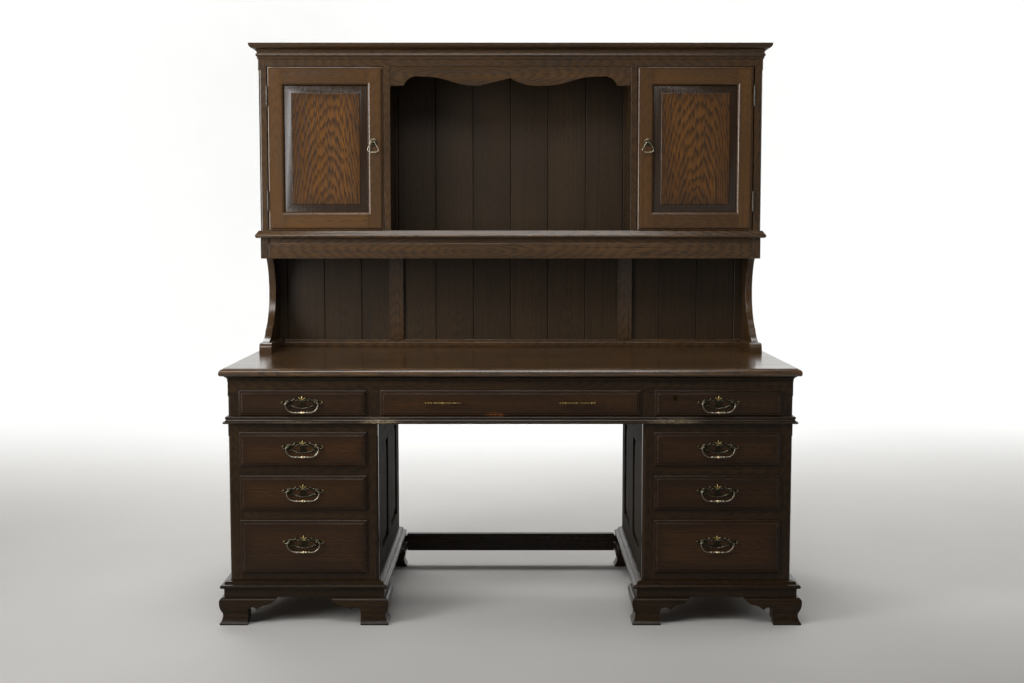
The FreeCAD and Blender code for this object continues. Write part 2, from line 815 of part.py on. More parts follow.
# Rear stretcher between the pedestals, its upper rail stub-tenoned to the plinths
stretcher_half = -knee_left - s.foot_reach
tenon_half = -knee_left - s.plinth_reach * PLINTH_SHARES[0][0]
tenon_top = s.foot_height + s.plinth_height * PLINTH_SHARES[1][1]
stretcher_ledge = s.stretcher_bottom + s.stretcher_lower
stretcher_top = stretcher_ledge + s.stretcher_upper
stretcher_back = case_back - s.stretcher_set_back
half_rail = [(stretcher_half, stretcher_ledge), (stretcher_half, s.foot_height)]
half_rail += [(tenon_half, s.foot_height), (tenon_half, tenon_top)]
half_rail += [(stretcher_half, tenon_top), (stretcher_half, stretcher_top)]
upper_rail = half_rail + [(-x, z) for x, z in reversed(half_rail)]
node(
    "rear_stretcher",
    board(
        (-stretcher_half, stretcher_half),
        (stretcher_back - s.stretcher_stock, stretcher_back),
        (s.stretcher_bottom, stretcher_ledge),
    ),
    prism("XZ", upper_rail, stretcher_back - s.stretcher_stock - s.stretcher_step, stretcher_back),
)


# Drawers: a lipped front with a raised field, two sides, a back and a bottom
field_front = face - s.lip_thickness - s.field_rise


def drawer(across, up, low_lip):
    zero = as_size(0)
    plug = s.lip_overlap + s.slide_gap
    field = face - s.lip_thickness
    rim = [
        (zero, face, zero),
        (zero, field + s.lip_round, s.lip_round / 4),
        (s.lip_round, field, zero),
        (s.field_inset, field, zero),
        (s.field_inset + s.field_rise, field - s.field_rise, zero),
    ]
    edge = [(plug, face + s.front_plug, zero), (plug, face, zero)] + rim
    low_plug = low_lip + s.slide_gap
    low_edge = [(low_plug, face + s.front_plug, zero), (low_plug, face, zero)] + rim
    if low_plug.value == 0:
        low_edge = [(zero, face + s.front_plug, zero)] + rim[1:]
    lips = (across[0] - s.lip_overlap, across[1] + s.lip_overlap)
    front = fielded("XZ", lips, (up[0] - low_lip, up[1] + s.lip_overlap), edge, low_edge)
    box = (across[0] + s.slide_gap, across[1] - s.slide_gap)
    inside = (box[0] + s.drawer_side, box[1] - s.drawer_side)
    start = face + s.front_plug
    end = case_back - s.drawer_rear_gap
    height = (up[0] + s.slide_gap, up[1] - s.lip_overlap)
    floor = (height[0] + s.drawer_bottom, height[0] + s.drawer_bottom * 2)
    return [
        front,
        board((box[0], inside[0]), (start, end), height),
        board((inside[1], box[1]), (start, end), height),
        board(inside, (end - s.drawer_side, end), (floor[1], height[1] - s.drawer_back_drop)),
        board(inside, (start, end), floor),
    ]


openings = {
    "upper": (upper_sill, upper_head),
    "middle": (middle_sill, middle_head),
    "lower": (lower_sill, lower_head),
}
drawers = {}
for tier, span in openings.items():
    drawers[f"pedestal_{tier}_drawer"] = drawer(rail_span, span, s.lip_overlap)
drawers["frieze_drawer"] = drawer(rail_span, (waist_top, frieze_head), -s.slide_gap)
lock_x = s.lock_place - opening_right
lock_z = frieze_head - s.lock_drop
lock_start = field_front - s.lock_proud
front_back = face + s.front_plug
lock_bore = rod(
    s.lock_barrel + s.pin_gap, front_back - field_front + s.cut_overrun * 2, "y",
    lock_x, field_front - s.cut_overrun, lock_z,
)
for name, pieces in drawers.items():
    node(f"left_{name}", *pieces)
    right_pieces = [mirror(piece, LEFT_RIGHT) for piece in pieces]
    if name == "frieze_drawer":
        right_pieces[0] = cut(right_pieces[0], lock_bore)
    node(f"right_{name}", *right_pieces)
node("centre_frieze_drawer", *drawer((middle_left, -middle_left), (waist_top, frieze_head), -s.slide_gap))

# Lock of the right frieze drawer: a barrel with a keyhole, and a cam that turns up behind the rail
cam_depth = (frame_back + s.cam_clear, frame_back + s.cam_clear + s.cam_stock)
barrel = rod(s.lock_barrel, cam_depth[1] - lock_start, "y", lock_x, lock_start, lock_z)
cam = board(
    (lock_x, lock_x + s.cam_reach),
    cam_depth,
    (lock_z - s.cam_width / 2, lock_z + s.cam_width / 2),
)
keyhole = board(
    (lock_x - s.key_width / 2, lock_x + s.key_width / 2),
    (lock_start - s.cut_overrun, lock_start + s.key_depth),
    (lock_z - s.key_height / 2, lock_z + s.key_height / 2),
)
node("right_frieze_lock", cut(fuse(barrel, cam), keyhole))


# Turned and bent pieces
def lathe(plane, points):
    """A body turned about the first axis of a plane: points are (along, radius)."""
    body = doc.addObject("PartDesign::Body", "turning")
    sketch = new_sketch(body, plane)
    draw_outline(sketch, points)
    turning = body.newObject("PartDesign::Revolution", "turn")
    turning.Profile = sketch
    turning.ReferenceAxis = (sketch, ["H_Axis"])
    return body


def bent_wire(half_path, radius, half_beads=()):
    """Round wire bent to a path that starts in the middle of its lowest stretch, alike on both sides.

    Beads are turned on the lowest stretch: points are (along, radius).
    """
    body = doc.addObject("PartDesign::Body", "wire")
    path = new_sketch(body, "XZ")
    draw_run(path, half_path, False)
    section = new_sketch(body, "YZ")
    draw_circle(section, 0, 0, radius)
    pipe = body.newObject("PartDesign::AdditivePipe", "pipe")
    pipe.Profile = section
    pipe.Spine = (path, [f"Edge{number}" for number in range(1, len(half_path))])
    halves = [pipe]
    if half_beads:
        beads = new_sketch(body, "XZ")
        draw_outline(beads, half_beads)
        turning = body.newObject("PartDesign::Revolution", "beads")
        turning.Profile = beads
        turning.ReferenceAxis = (beads, ["H_Axis"])
        halves.append(turning)
    whole = body.newObject("PartDesign::Mirrored", "whole")
    whole.Originals = halves
    whole.MirrorPlane = ([part for part in body.Origin.OriginFeatures if part.Role == "YZ_Plane"][0], [""])
    body.Tip = whole
    return body


# Handle plates: pierced, with two posts that carry the bail. The plate's own origin is
# midway between the posts, on the face that lies on the drawer.
def plate_points(shares):
    half = s.plate_width / 2
    points = []
    for across, up, rise in shares:
        height = s.plate_rise if up > 0 else s.plate_drop
        points.append((half * across, height * up, s.plate_rise * rise))
    return points


right_half = plate_points(PLATE_SHARES)
left_half = turned(right_half)
hole_right = plate_points(PLATE_HOLE_SHARES)
hole_left = [(-x, z, -rise) for x, z, rise in hole_right]
plate = prism(
    "XZ", right_half[:-1] + left_half[:-1], -s.plate_thickness, as_size(0), (hole_right, hole_left)
)
post_axis = -s.plate_thickness - s.post_stand


def post_outline(base, foot, foot_height, axis):
    """Half section of a turned post: a foot, a waisted neck and a round head about its axis."""
    return [
        (base, 0),
        (base, foot),
        (base - foot_height, foot),
        (base - foot_height * 2, s.post_neck, s.post_neck / 8),
        (axis + s.post_head * HEAD_JOIN_SHARE, s.post_neck),
        (axis, s.post_head, -(s.post_head * QUARTER_RISE_SHARE)),
        (axis - s.post_head, 0),
    ]


posts = []
for side in (-1, 1):
    post = lathe("YZ", post_outline(-s.plate_thickness, s.post_foot, s.post_foot_height, post_axis))
    posts.append(place(post, x=s.post_spacing / 2 * side))
bail_bore = rod(s.bail_wire + s.pin_gap, s.plate_width, "x", -s.plate_width / 2, post_axis)
handle_plate = cut(fuse(plate, *posts), bail_bore)

# Bail: round wire from pin to pin, with turned beads in the middle. Its own origin is the
# middle of the lowest stretch, and its pins lie above by the drop.
bail_half = s.bail_width / 2 - s.bail_wire
bail_bow = s.bail_drop - s.bail_corner
bail = bent_wire(
    [
        (0, 0),
        (bail_half - bail_bow, 0, -(bail_bow * QUARTER_RISE_SHARE)),
        (bail_half, bail_bow, -(s.bail_corner * QUARTER_RISE_SHARE)),
        (bail_half - s.bail_corner, s.bail_drop),
        (s.post_spacing / 2 - s.post_head / 2, s.bail_drop),
    ],
    s.bail_wire,
    [
        (0, 0),
        (0, s.bail_ball, s.bail_ball * BALL_RISE_SHARE),
        (s.bail_ball * BALL_JOIN_SHARE, s.bail_wire),
        (s.bail_bead_spacing - s.bail_bead, s.bail_wire, s.bail_bead - s.bail_wire),
        (s.bail_bead_spacing + s.bail_bead, s.bail_wire),
        (s.bail_bead_spacing * 2 - s.bail_swelling, s.bail_wire, s.bail_swelling - s.bail_wire),
        (s.bail_bead_spacing * 2 + s.bail_swelling, s.bail_wire),
        (s.bail_bead_spacing * 2 + s.bail_swelling, 0),
    ],
)

# One handle in the middle of each side drawer
drawer_middle = (opening_left + opening_right) / 2
handle_heights = {
    "pedestal_upper": (upper_sill + upper_head) / 2 + s.handle_lift,
    "pedestal_middle": (middle_sill + middle_head) / 2 + s.handle_lift,
    "pedestal_lower": (lower_sill + lower_head) / 2 + s.lower_handle_lift,
    "frieze": (waist_top + frieze_head) / 2 + s.handle_lift,
}
for drawer_name, height in handle_heights.items():
    for side, x in (("left", drawer_middle), ("right", -drawer_middle)):
        copy_at(f"{side}_{drawer_name}_plate", handle_plate, x, field_front, height)
        copy_at(f"{side}_{drawer_name}_bail", bail, x, field_front + post_axis, height - s.bail_drop)

# Bar pulls of the middle drawer: a turned bar on two posts
bar_half = s.pull_length / 2
bar_run = [(0, 0), (0, s.pull_bead), (s.pull_bead_spacing, s.pull_rod)]
for place_from_end in (3, 2, 1):
    end = bar_half - s.pull_bead_spacing * (place_from_end - 1)
    start = end - s.pull_bead_spacing + s.pull_rod
    bar_run += [(start, s.pull_rod, s.pull_bead - s.pull_rod), (end, s.pull_rod)]
bar_run.append((bar_half, 0))
half_bar = lathe("XZ", bar_run)
pull_posts = [
    rod(s.pull_post, s.pull_stand, "y", (bar_half - s.pull_post_inset) * side) for side in (-1, 1)
]
pull = fuse(half_bar, mirror(half_bar, LEFT_RIGHT), *pull_posts)
pull_height = handle_heights["frieze"]
pulls = []
for side in (-1, 1):
    pulls.append(place(gather([pull]), s.pull_place * side, field_front - s.pull_stand, pull_height))
node("centre_drawer_pulls", *pulls)

# Hutch: heights, depths and widths
shoe_top = desk_top + s.shoe_height
shelf_bottom = shoe_top + s.bracket_height
shelf_top = shelf_bottom + s.shelf_thickness
door_head = shelf_top + s.door_opening
hutch_top = door_head + s.hutch_rail
hutch_face = top_back - s.hutch_depth
hutch_frame_back = hutch_face + s.hutch_frame
boards_front = top_back - s.hutch_back
hutch_left = -s.hutch_width / 2
stile_left = hutch_left + s.hutch_stile
niche_left = -s.niche_width / 2
partition_left = niche_left - s.partition_stock
side_span = (hutch_left, hutch_left + s.hutch_side)
apron_bottom = shelf_bottom - s.apron_height

# Shaped brackets that carry the shelf, on shoe blocks with rounded noses
shoe_front = boards_front - s.shoe_length
shoe_outline = [
    (boards_front, desk_top),
    (boards_front, shoe_top),
    (shoe_front + s.shoe_round, shoe_top, -(s.shoe_round * QUARTER_RISE_SHARE)),
    (shoe_front, shoe_top - s.shoe_round),
    (shoe_front, desk_top),
]
shoe = prism("YZ", shoe_outline, hutch_left, hutch_left + s.shoe_width)
ankle_top = shoe_top + s.ankle_height
bracket_outline = [
    (boards_front, shoe_top),
    (boards_front, shelf_bottom),
    (hutch_frame_back, shelf_bottom),
    (hutch_frame_back, apron_bottom),
    (hutch_face + s.bracket_shoulder, apron_bottom, s.bracket_hollow),
    (hutch_face + s.ankle_set, ankle_top),
    (hutch_face + s.ankle_set - s.ankle_step, ankle_top - s.ankle_step / 2, s.ankle_hollow),
    (hutch_face + s.toe_set, shoe_top),
]
bracket = prism("YZ", bracket_outline, *side_span)
node("hutch_shoes", *both_sides([shoe]))
node("hutch_brackets", *both_sides([bracket]))

# Stepped apron under the moulded shelf
apron_ledge = shelf_bottom - s.apron_step_height
apron_outline = [
    (hutch_frame_back, apron_bottom),
    (hutch_frame_back, shelf_bottom),
    (hutch_face + s.apron_step, shelf_bottom),
    (hutch_face + s.apron_step, apron_ledge),
    (hutch_face, apron_ledge),
    (hutch_face, apron_bottom),
]
node("shelf_apron", prism("YZ", apron_outline, stile_left, -stile_left))
node(
    "mid_shelf",
    moulded_board(
        s.hutch_width / 2 + s.shelf_overhang, hutch_face - s.shelf_overhang, boards_front,
        shelf_bottom, s.shelf_thickness, SHELF_SHARES, s.shelf_overhang,
    ),
)

# Upper case: sides, partitions, face frame and top board
upper_height = (shelf_top, hutch_top)
upper_depth = (hutch_frame_back, boards_front)
hutch_side = board(side_span, upper_depth, upper_height)
hutch_partition = board((partition_left, niche_left), upper_depth, upper_height)
node("hutch_uprights", *both_sides([hutch_side, hutch_partition]))
hutch_frame_depth = (hutch_face, hutch_frame_back)
hutch_stiles = [
    rounded_stile(hutch_left, stile_left, hutch_frame_depth, upper_height, s.arris_stop),
    board((hutch_left, stile_left), hutch_frame_depth, (apron_bottom, shelf_bottom)),
    board((partition_left, niche_left), hutch_frame_depth, (shelf_top, door_head)),
]
hutch_head = board((stile_left, -stile_left), hutch_frame_depth, (door_head, hutch_top))
node("hutch_face_frame", hutch_head, *both_sides(hutch_stiles))
top_inset = hutch_left + s.hutch_frame
node(
    "hutch_top",
    board((top_inset, -top_inset), upper_depth, (hutch_top, hutch_top + s.hutch_top_stock)),
)
node(
    "cornice",
    *mitred_strips(
        (hutch_left, -hutch_left), (hutch_face, boards_front), s.hutch_frame, CORNICE_SHARES, s.cornice_reach,
        hutch_top, s.cornice_height,
    ),
)

# Valance over the niche: flat ends, an ogee to a peak, a long fall and a cusp in the middle
valance_bottom = door_head - s.valance_height
half_niche = s.niche_width / 2
valance_half = [(half_niche, door_head, as_size(0)), (half_niche, valance_bottom, as_size(0))]
valance_half.append((half_niche - s.valance_flat, valance_bottom, s.valance_peak * VALANCE_RISE_SHARE))
valance_half += [
    (half_niche * along, valance_bottom + s.valance_peak * up, s.valance_peak * rise)
    for along, up, rise in VALANCE_SHARES
]
valance_half.append((as_size(0), valance_bottom + s.valance_cusp, as_size(0)))
valance_outline = valance_half + turned(valance_half)[1:]
valance_depth = (hutch_face + s.valance_set_back, hutch_frame_back)
node("valance", prism("XZ", valance_outline, *valance_depth))

# Tongued back boards, with the battens and the base strip in front of them
half_hutch = s.hutch_width / 2
whole_boards = int((half_hutch.value / s.back_board.value) - LEAST_BOARD_SHARE)
joints = [s.back_board * number for number in range(whole_boards + 1)] + [half_hutch]
boards_back_left = []
for right_joint, left_joint in zip(joints, joints[1:]):
    x0, x1 = -left_joint, -right_joint
    board_section = [
        (x0, top_back),
        (x1, top_back),
        (x1, boards_front + s.board_groove),
        (x1 - s.board_groove, boards_front),
        (x0 + s.board_groove, boards_front),
        (x0, boards_front + s.board_groove),
    ]
    boards_back_left.append(prism("XY", board_section, desk_top, hutch_top + s.hutch_top_stock))
node("hutch_back_boards", *both_sides(boards_back_left))

batten_depth = (boards_front - s.batten_stock, boards_front)
strip_top = desk_top + s.base_strip_height
shoe_inner = hutch_left + s.shoe_width
strip_ledge = desk_top + s.base_strip_height * STRIP_LEDGE_SHARE
strip_outline = [
    (boards_front, desk_top),
    (boards_front, strip_top),
    (batten_depth[0] + s.base_strip_step, strip_top),
    (batten_depth[0] + s.base_strip_step, strip_ledge),
    (batten_depth[0], strip_ledge),
    (batten_depth[0], desk_top),
]
base_strip = prism("YZ", strip_outline, shoe_inner, -shoe_inner)
batten_span = (-s.batten_place - s.batten_width / 2, -s.batten_place + s.batten_width / 2)
batten = board(batten_span, batten_depth, (strip_top, shelf_bottom))
node("hutch_back_battens", base_strip, *both_sides([batten]))

# Doors: four moulded frame pieces round a raised panel, hung clear of the outer stile
hinge_gap = s.hinge_leaf * 2 + s.hinge_leaf_gap
door_span = (stile_left + hinge_gap, partition_left - s.door_gap)
door_height = (shelf_top + s.door_gap, door_head - s.door_gap)
door_front = hutch_face - s.door_proud
door_back = door_front + s.door_stock
zero = as_size(0)
door_edge = [
    (zero, door_back, zero),
    (zero, door_front + s.door_round + s.door_fillet, s.door_round * QUARTER_RISE_SHARE),
    (s.door_round, door_front + s.door_fillet, zero),
    (s.door_step, door_front + s.door_fillet, zero),
    (s.door_step, door_front, zero),
]
slab = fielded("XZ", door_span, door_height, door_edge)
door_depth = (door_front, door_back)
panel_span = (door_span[0] + s.door_stile, door_span[1] - s.door_stile)
panel_rise = (door_height[0] + s.door_rail, door_height[1] - s.door_rail)
sticking_edge = [
    (s.sticking_width, door_back + s.cut_overrun, zero),
    (s.sticking_width, door_front + s.sticking_depth, s.sticking_width * STICKING_RISE_SHARE),
    (zero, door_front, zero),
    (zero, door_front - s.cut_overrun, zero),
]
panel_hole = fielded(
    "XZ",
    (panel_span[0] - s.sticking_width, panel_span[1] + s.sticking_width),
    (panel_rise[0] - s.sticking_width, panel_rise[1] + s.sticking_width),
    sticking_edge,
)
door_frame = cut(slab, panel_hole)
frame_pieces = [
    ((door_span[0], panel_span[0]), door_height),
    ((panel_span[1], door_span[1]), door_height),
    (panel_span, (door_height[0], panel_rise[0])),
    (panel_span, (panel_rise[1], door_height[1])),
]
door_pieces = [common(door_frame, board(across, door_depth, up)) for across, up in frame_pieces]
door_field = door_front + s.door_panel_sink
door_ground = door_field + s.door_field_rise
panel_edge = [
    (zero, door_back - s.door_panel_sink, zero),
    (zero, door_ground, zero),
    (s.door_field_bevel, door_field + s.door_fillet, zero),
    (s.door_field_bevel, door_field, zero),
]
door_pieces.append(fielded("XZ", panel_span, panel_rise, panel_edge))
node("left_door", *door_pieces)
node("right_door", *[mirror(piece, LEFT_RIGHT) for piece in door_pieces])

# Butt hinges: the knuckles stand in front of the stile, beside the edge of the door
hinge_x = door_span[0] - s.slide_gap - s.hinge_knuckle
hinge_y = hutch_face - s.slide_gap - s.hinge_knuckle
leaf_front = hinge_y + s.hinge_knuckle + s.slide_gap
leaf_depth = (leaf_front, leaf_front + s.hinge_leaf_width)
frame_leaf_span = (stile_left, stile_left + s.hinge_leaf)
door_leaf_span = (door_span[0] - s.hinge_leaf, door_span[0])
knuckle_height = s.hinge_height / 3


def hinge_leaf(span, bottom, thirds):
    """A leaf with the knuckles that it carries on the given thirds of its height, bored for the pin."""
    pieces = [board(span, leaf_depth, (bottom, bottom + s.hinge_height))]
    for third in thirds:
        low = bottom + knuckle_height * third + s.hinge_end_gap / 2
        high = low + knuckle_height - s.hinge_end_gap
        pieces.append(board(span, (hinge_y, leaf_front), (low, high)))
        pieces.append(rod(s.hinge_knuckle, high - low, "z", hinge_x, hinge_y, low))
    bore = rod(s.hinge_pin + s.pin_gap, s.hinge_height, "z", hinge_x, hinge_y, bottom)
    return cut(fuse(*pieces), bore)


frame_leaves = []
door_leaves = []
for bottom in (door_height[0] + s.hinge_inset, door_height[1] - s.hinge_inset - s.hinge_height):
    frame_leaves.append(hinge_leaf(frame_leaf_span, bottom, (0, 2)))
    door_leaves.append(hinge_leaf(door_leaf_span, bottom, (1,)))
    pin = rod(s.hinge_pin, s.hinge_height, "z", hinge_x, hinge_y, bottom)
    pin_top = bottom + s.hinge_height
    pin_head = rod(s.hinge_pin + s.hinge_leaf / 2, s.hinge_leaf, "z", hinge_x, hinge_y, pin_top)
    frame_leaves.append(fuse(pin, pin_head))
node("hinge_frame_leaves", *both_sides(frame_leaves))

# Ring pulls: a turned plate with an eye, and a pear-shaped ring that hangs from it
ring_x = door_span[1] - s.ring_inset
ring_z = door_height[0] + s.ring_height
ring_axis = -s.ring_plate_thickness - s.ring_post_stand
ring_plate_run = [
    (0, 0),
    (0, s.ring_plate),
    (-(s.ring_plate_thickness / 2), s.ring_plate, -(s.ring_plate_thickness / 4)),
    (-s.ring_plate_thickness, s.ring_eye),
    (ring_axis, s.ring_eye, -(s.ring_eye * QUARTER_RISE_SHARE)),
    (ring_axis - s.ring_eye, 0),
]
ring_bore = rod(s.ring_wire + s.pin_gap, s.ring_plate * 2, "x", -s.ring_plate, ring_axis)
ring_plate = cut(lathe("YZ", ring_plate_run), ring_bore)
ring_fitting = place(gather([ring_plate]), ring_x, door_front, ring_z)
left_fittings = door_leaves + [ring_fitting]
node("left_door_fittings", *left_fittings)
node("right_door_fittings", *[mirror(piece, LEFT_RIGHT) for piece in left_fittings])

# The ring's arms lean in by this turn from level, and close on a short straight pin
arm_turn = math.radians(RING_ARM_TURN)
ring_half = s.ring_width / 2 - s.ring_wire
arm_foot = (ring_half - s.ring_bow + s.ring_bow * math.sin(arm_turn), s.ring_bow * (1 - math.cos(arm_turn)))
arm_head_z = s.ring_drop - s.ring_corner * (1 + math.cos(arm_turn))
arm_head_x = arm_foot[0] + (arm_head_z - arm_foot[1]) / math.tan(arm_turn)
pin_half = arm_head_x - s.ring_corner * math.sin(arm_turn)
ring = bent_wire(
    [
        (0, 0),
        (ring_half - s.ring_bow, 0, -(s.ring_bow * (1 - math.cos(arm_turn / 2)))),
        (arm_foot[0], arm_foot[1]),
        (arm_head_x, arm_head_z, -(s.ring_corner * (1 - math.cos((math.pi - arm_turn) / 2)))),
        (pin_half, s.ring_drop),
        (0, s.ring_drop),
    ],
    s.ring_wire,
)
ring_y = door_front + ring_axis
copy_at("left_door_ring", ring, ring_x, ring_y, ring_z - s.ring_drop)
copy_at("right_door_ring", ring, -ring_x, ring_y, ring_z - s.ring_drop)

# Catches behind the closing edges of the doors
door_middle = (door_height[0] + door_height[1]) / 2
catch = board(
    (partition_left - s.catch_width, partition_left),
    (door_back + s.slide_gap, door_back + s.slide_gap + s.catch_depth),
    (door_middle - s.catch_length / 2, door_middle + s.catch_length / 2),
)
node("door_catches", *both_sides([catch]))

# Build, check and write every node
doc.recompute()
for thing in doc.Objects:
    if "Invalid" in thing.State or "Error" in thing.State:
        raise RuntimeError(f"{thing.Label} failed: {thing.State}")
for label, thing in NODES.items():
    if thing.Shape.isNull() or not thing.Shape.isValid():
        raise RuntimeError(f"{label} has no valid shape")
os.makedirs("parts", exist_ok=True)
for label, thing in NODES.items():
    thing.Shape.exportStep(f"parts/{label}.step")
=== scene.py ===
import json
import math
import random

import bmesh
import bpy
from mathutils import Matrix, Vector

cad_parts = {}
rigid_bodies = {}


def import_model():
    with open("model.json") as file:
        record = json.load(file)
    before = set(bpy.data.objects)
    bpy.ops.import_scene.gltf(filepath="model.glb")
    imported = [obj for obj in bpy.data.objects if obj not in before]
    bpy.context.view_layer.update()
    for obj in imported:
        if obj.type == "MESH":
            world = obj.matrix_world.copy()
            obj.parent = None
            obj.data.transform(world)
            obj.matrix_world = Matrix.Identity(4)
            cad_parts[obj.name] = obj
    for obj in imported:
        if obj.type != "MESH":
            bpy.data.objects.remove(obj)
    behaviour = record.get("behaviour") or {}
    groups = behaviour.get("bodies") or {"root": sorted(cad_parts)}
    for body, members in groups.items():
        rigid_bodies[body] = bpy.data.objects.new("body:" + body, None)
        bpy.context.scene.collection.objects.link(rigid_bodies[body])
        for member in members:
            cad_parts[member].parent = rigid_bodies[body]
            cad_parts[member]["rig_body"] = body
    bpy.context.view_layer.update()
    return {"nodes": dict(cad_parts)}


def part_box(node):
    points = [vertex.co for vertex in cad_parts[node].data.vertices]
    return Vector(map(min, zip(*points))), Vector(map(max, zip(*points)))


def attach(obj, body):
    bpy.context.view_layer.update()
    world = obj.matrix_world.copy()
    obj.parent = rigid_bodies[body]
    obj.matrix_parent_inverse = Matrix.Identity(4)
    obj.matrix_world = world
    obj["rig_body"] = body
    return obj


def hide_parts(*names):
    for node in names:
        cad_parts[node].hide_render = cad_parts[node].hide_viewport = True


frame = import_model()


# Bracket feet: eight ogee brackets of solid oak, sawn to a scroll and mitred at the front
# corners, with a glue block behind each mitre. Stained dark and varnished with the rest.
# The wooden pieces all start here: boards with eased edges that know which way their grain runs.
def closed_boards(node):
    """The boards of a CAD node, each as the triangles of one closed shell, with the points they share."""
    mesh = frame["nodes"][node].data
    number_of = {}
    points = []
    boards = []
    open_edges = set()
    board = []
    for polygon in mesh.polygons:
        corners = []
        for index in polygon.vertices:
            co = mesh.vertices[index].co
            key = tuple(round(value, 6) for value in co)
            if key not in number_of:
                number_of[key] = len(points)
                points.append(co.copy())
            corners.append(number_of[key])
        if len(set(corners)) < 3:
            continue
        board.append(corners)
        for start, end in zip(corners, corners[1:] + corners[:1]):
            if (end, start) in open_edges:
                open_edges.remove((end, start))
            else:
                open_edges.add((start, end))
        if not open_edges:
            boards.append(board)
            board = []
    if board:
        boards.append(board)
    return points, boards


def ease_arrises(mesh, board_of, worn, easing):
    """Round the arrises of each board by itself, and keep the shallow folds crisp."""
    crisp_fold = math.radians(13)
    eased_fold = math.radians(28)
    arrises = {}
    for edge in mesh.edges:
        if not edge.is_manifold:
            continue
        fold = edge.calc_face_angle()
        if fold > eased_fold:
            arrises.setdefault(edge.link_faces[0][board_of], []).append(edge)
        elif fold > crisp_fold:
            edge.smooth = False
    for edges in arrises.values():
        eased = bmesh.ops.bevel(
            mesh, geom=edges, offset=easing, offset_type="OFFSET", segments=2, profile=0.5,
            affect="EDGES", clamp_overlap=True, loop_slide=True,
        )
        for face in eased["faces"]:
            face[worn] = 1.0


def eased_boards(node, easing, kind_of):
    """A mesh of a node's boards, each board marked with its grain, size, tone and kind of finish."""
    draw = random.Random(node)
    points, boards = closed_boards(node)
    mesh = bmesh.new()
    board_of = mesh.faces.layers.int.new("board")
    worn = mesh.faces.layers.float.new("worn")
    grain = mesh.verts.layers.float_vector.new("grain")
    half = mesh.verts.layers.float_vector.new("half")
    tone = mesh.verts.layers.float.new("tone")
    for number, board in enumerate(boards):
        made = {}
        for corners in board:
            for corner in corners:
                if corner not in made:
                    made[corner] = mesh.verts.new(points[corner])
            face = mesh.faces.new([made[corner] for corner in corners])
            face[board_of] = number
    flat = math.radians(0.8)
    bmesh.ops.dissolve_limit(
        mesh, angle_limit=flat, use_dissolve_boundaries=False,
        verts=mesh.verts, edges=mesh.edges, delimit=set(),
    )
    ease_arrises(mesh, board_of, worn, easing)
    members = {}
    faces = {}
    for face in mesh.faces:
        face.smooth = True
        faces.setdefault(face[board_of], []).append(face)
        members.setdefault(face[board_of], set()).update(face.verts)
    for number in sorted(members):
        corners = [vert.co for vert in members[number]]
        low = Vector([min(co[axis] for co in corners) for axis in range(3)])
        high = Vector([max(co[axis] for co in corners) for axis in range(3)])
        middle = (low + high) / 2
        size = (high - low) / 2
        order = sorted(range(3), key=lambda axis: -size[axis])
        board_tone = draw.random()
        for vert in members[number]:
            offset = vert.co - middle
            vert[grain] = Vector([offset[axis] for axis in order])
            vert[half] = Vector([size[axis] for axis in order])
            vert[tone] = board_tone
        kind = kind_of(low, high)
        for face in faces[number]:
            face.material_index = kind
    made = bpy.data.meshes.new(f"finished_{node}")
    mesh.to_mesh(made)
    mesh.free()
    return made


def one_kind(low, high):
    return 0


def finish_node(node, finishes, easing, kind_of=one_kind):
    """The finished piece that stands for a CAD node and moves with its body."""
    mesh = eased_boards(node, easing, kind_of)
    for finish in finishes:
        mesh.materials.append(finish)
    piece = bpy.data.objects.new(f"finished_{node}", mesh)
    bpy.context.scene.collection.objects.link(piece)
    even = piece.modifiers.new("even_faces", "WEIGHTED_NORMAL")
    even.keep_sharp = True
    even.weight = 80
    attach(piece, frame["nodes"][node]["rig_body"])
    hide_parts(node)


class Tree:
    """A tree of nodes, wired one node at a time."""

    def feed(self, socket, value):
        if isinstance(value, bpy.types.NodeSocket):
            self.tree.links.new(value, socket)
        else:
            socket.default_value = value

    def add(self, kind, inputs=(), output=0, **settings):
        """Add a node, set it up, feed its inputs by name or number, and give one of its outputs."""
        node = self.tree.nodes.new(kind)
        for name, value in settings.items():
            setattr(node, name, value)
        for name, value in dict(inputs).items():
            self.feed(node.inputs[name], value)
        return node.outputs[output]


class Finish(Tree):
    """A material, and the patterns that it is mixed from."""

    def __init__(self, name):
        self.material = bpy.data.materials.new(name)
        self.material.use_nodes = True
        self.tree = self.material.node_tree
        self.shader = self.tree.nodes["Principled BSDF"]

    def attribute(self, name, output="Fac"):
        return self.add("ShaderNodeAttribute", output=output, attribute_name=name)

    def math(self, operation, first, second=0.0):
        return self.add("ShaderNodeMath", {0: first, 1: second}, operation=operation)

    def vector(self, operation, first, second):
        return self.add("ShaderNodeVectorMath", {0: first, 1: second}, operation=operation)

    def split(self, vector, axis):
        return self.add("ShaderNodeSeparateXYZ", {0: vector}, output=axis)

    def noise(self, vector, stretch, detail=2.0, roughness=0.5):
        stretched = self.vector("MULTIPLY", vector, stretch)
        inputs = {"Vector": stretched, "Scale": 1.0, "Detail": detail, "Roughness": roughness}
        return self.add("ShaderNodeTexNoise", inputs, noise_dimensions="3D")

    def spread(self, value, low, high, to_low=0.0, to_high=1.0):
        inputs = {"Value": value, 1: low, 2: high, 3: to_low, 4: to_high}
        return self.add("ShaderNodeMapRange", inputs, interpolation_type="SMOOTHSTEP")

    def mix(self, factor, first, second):
        node = self.tree.nodes.new("ShaderNodeMix")
        node.data_type = "RGBA"
        self.feed(node.inputs[0], factor)
        self.feed(node.inputs[6], first)
        self.feed(node.inputs[7], second)
        return node.outputs[2]


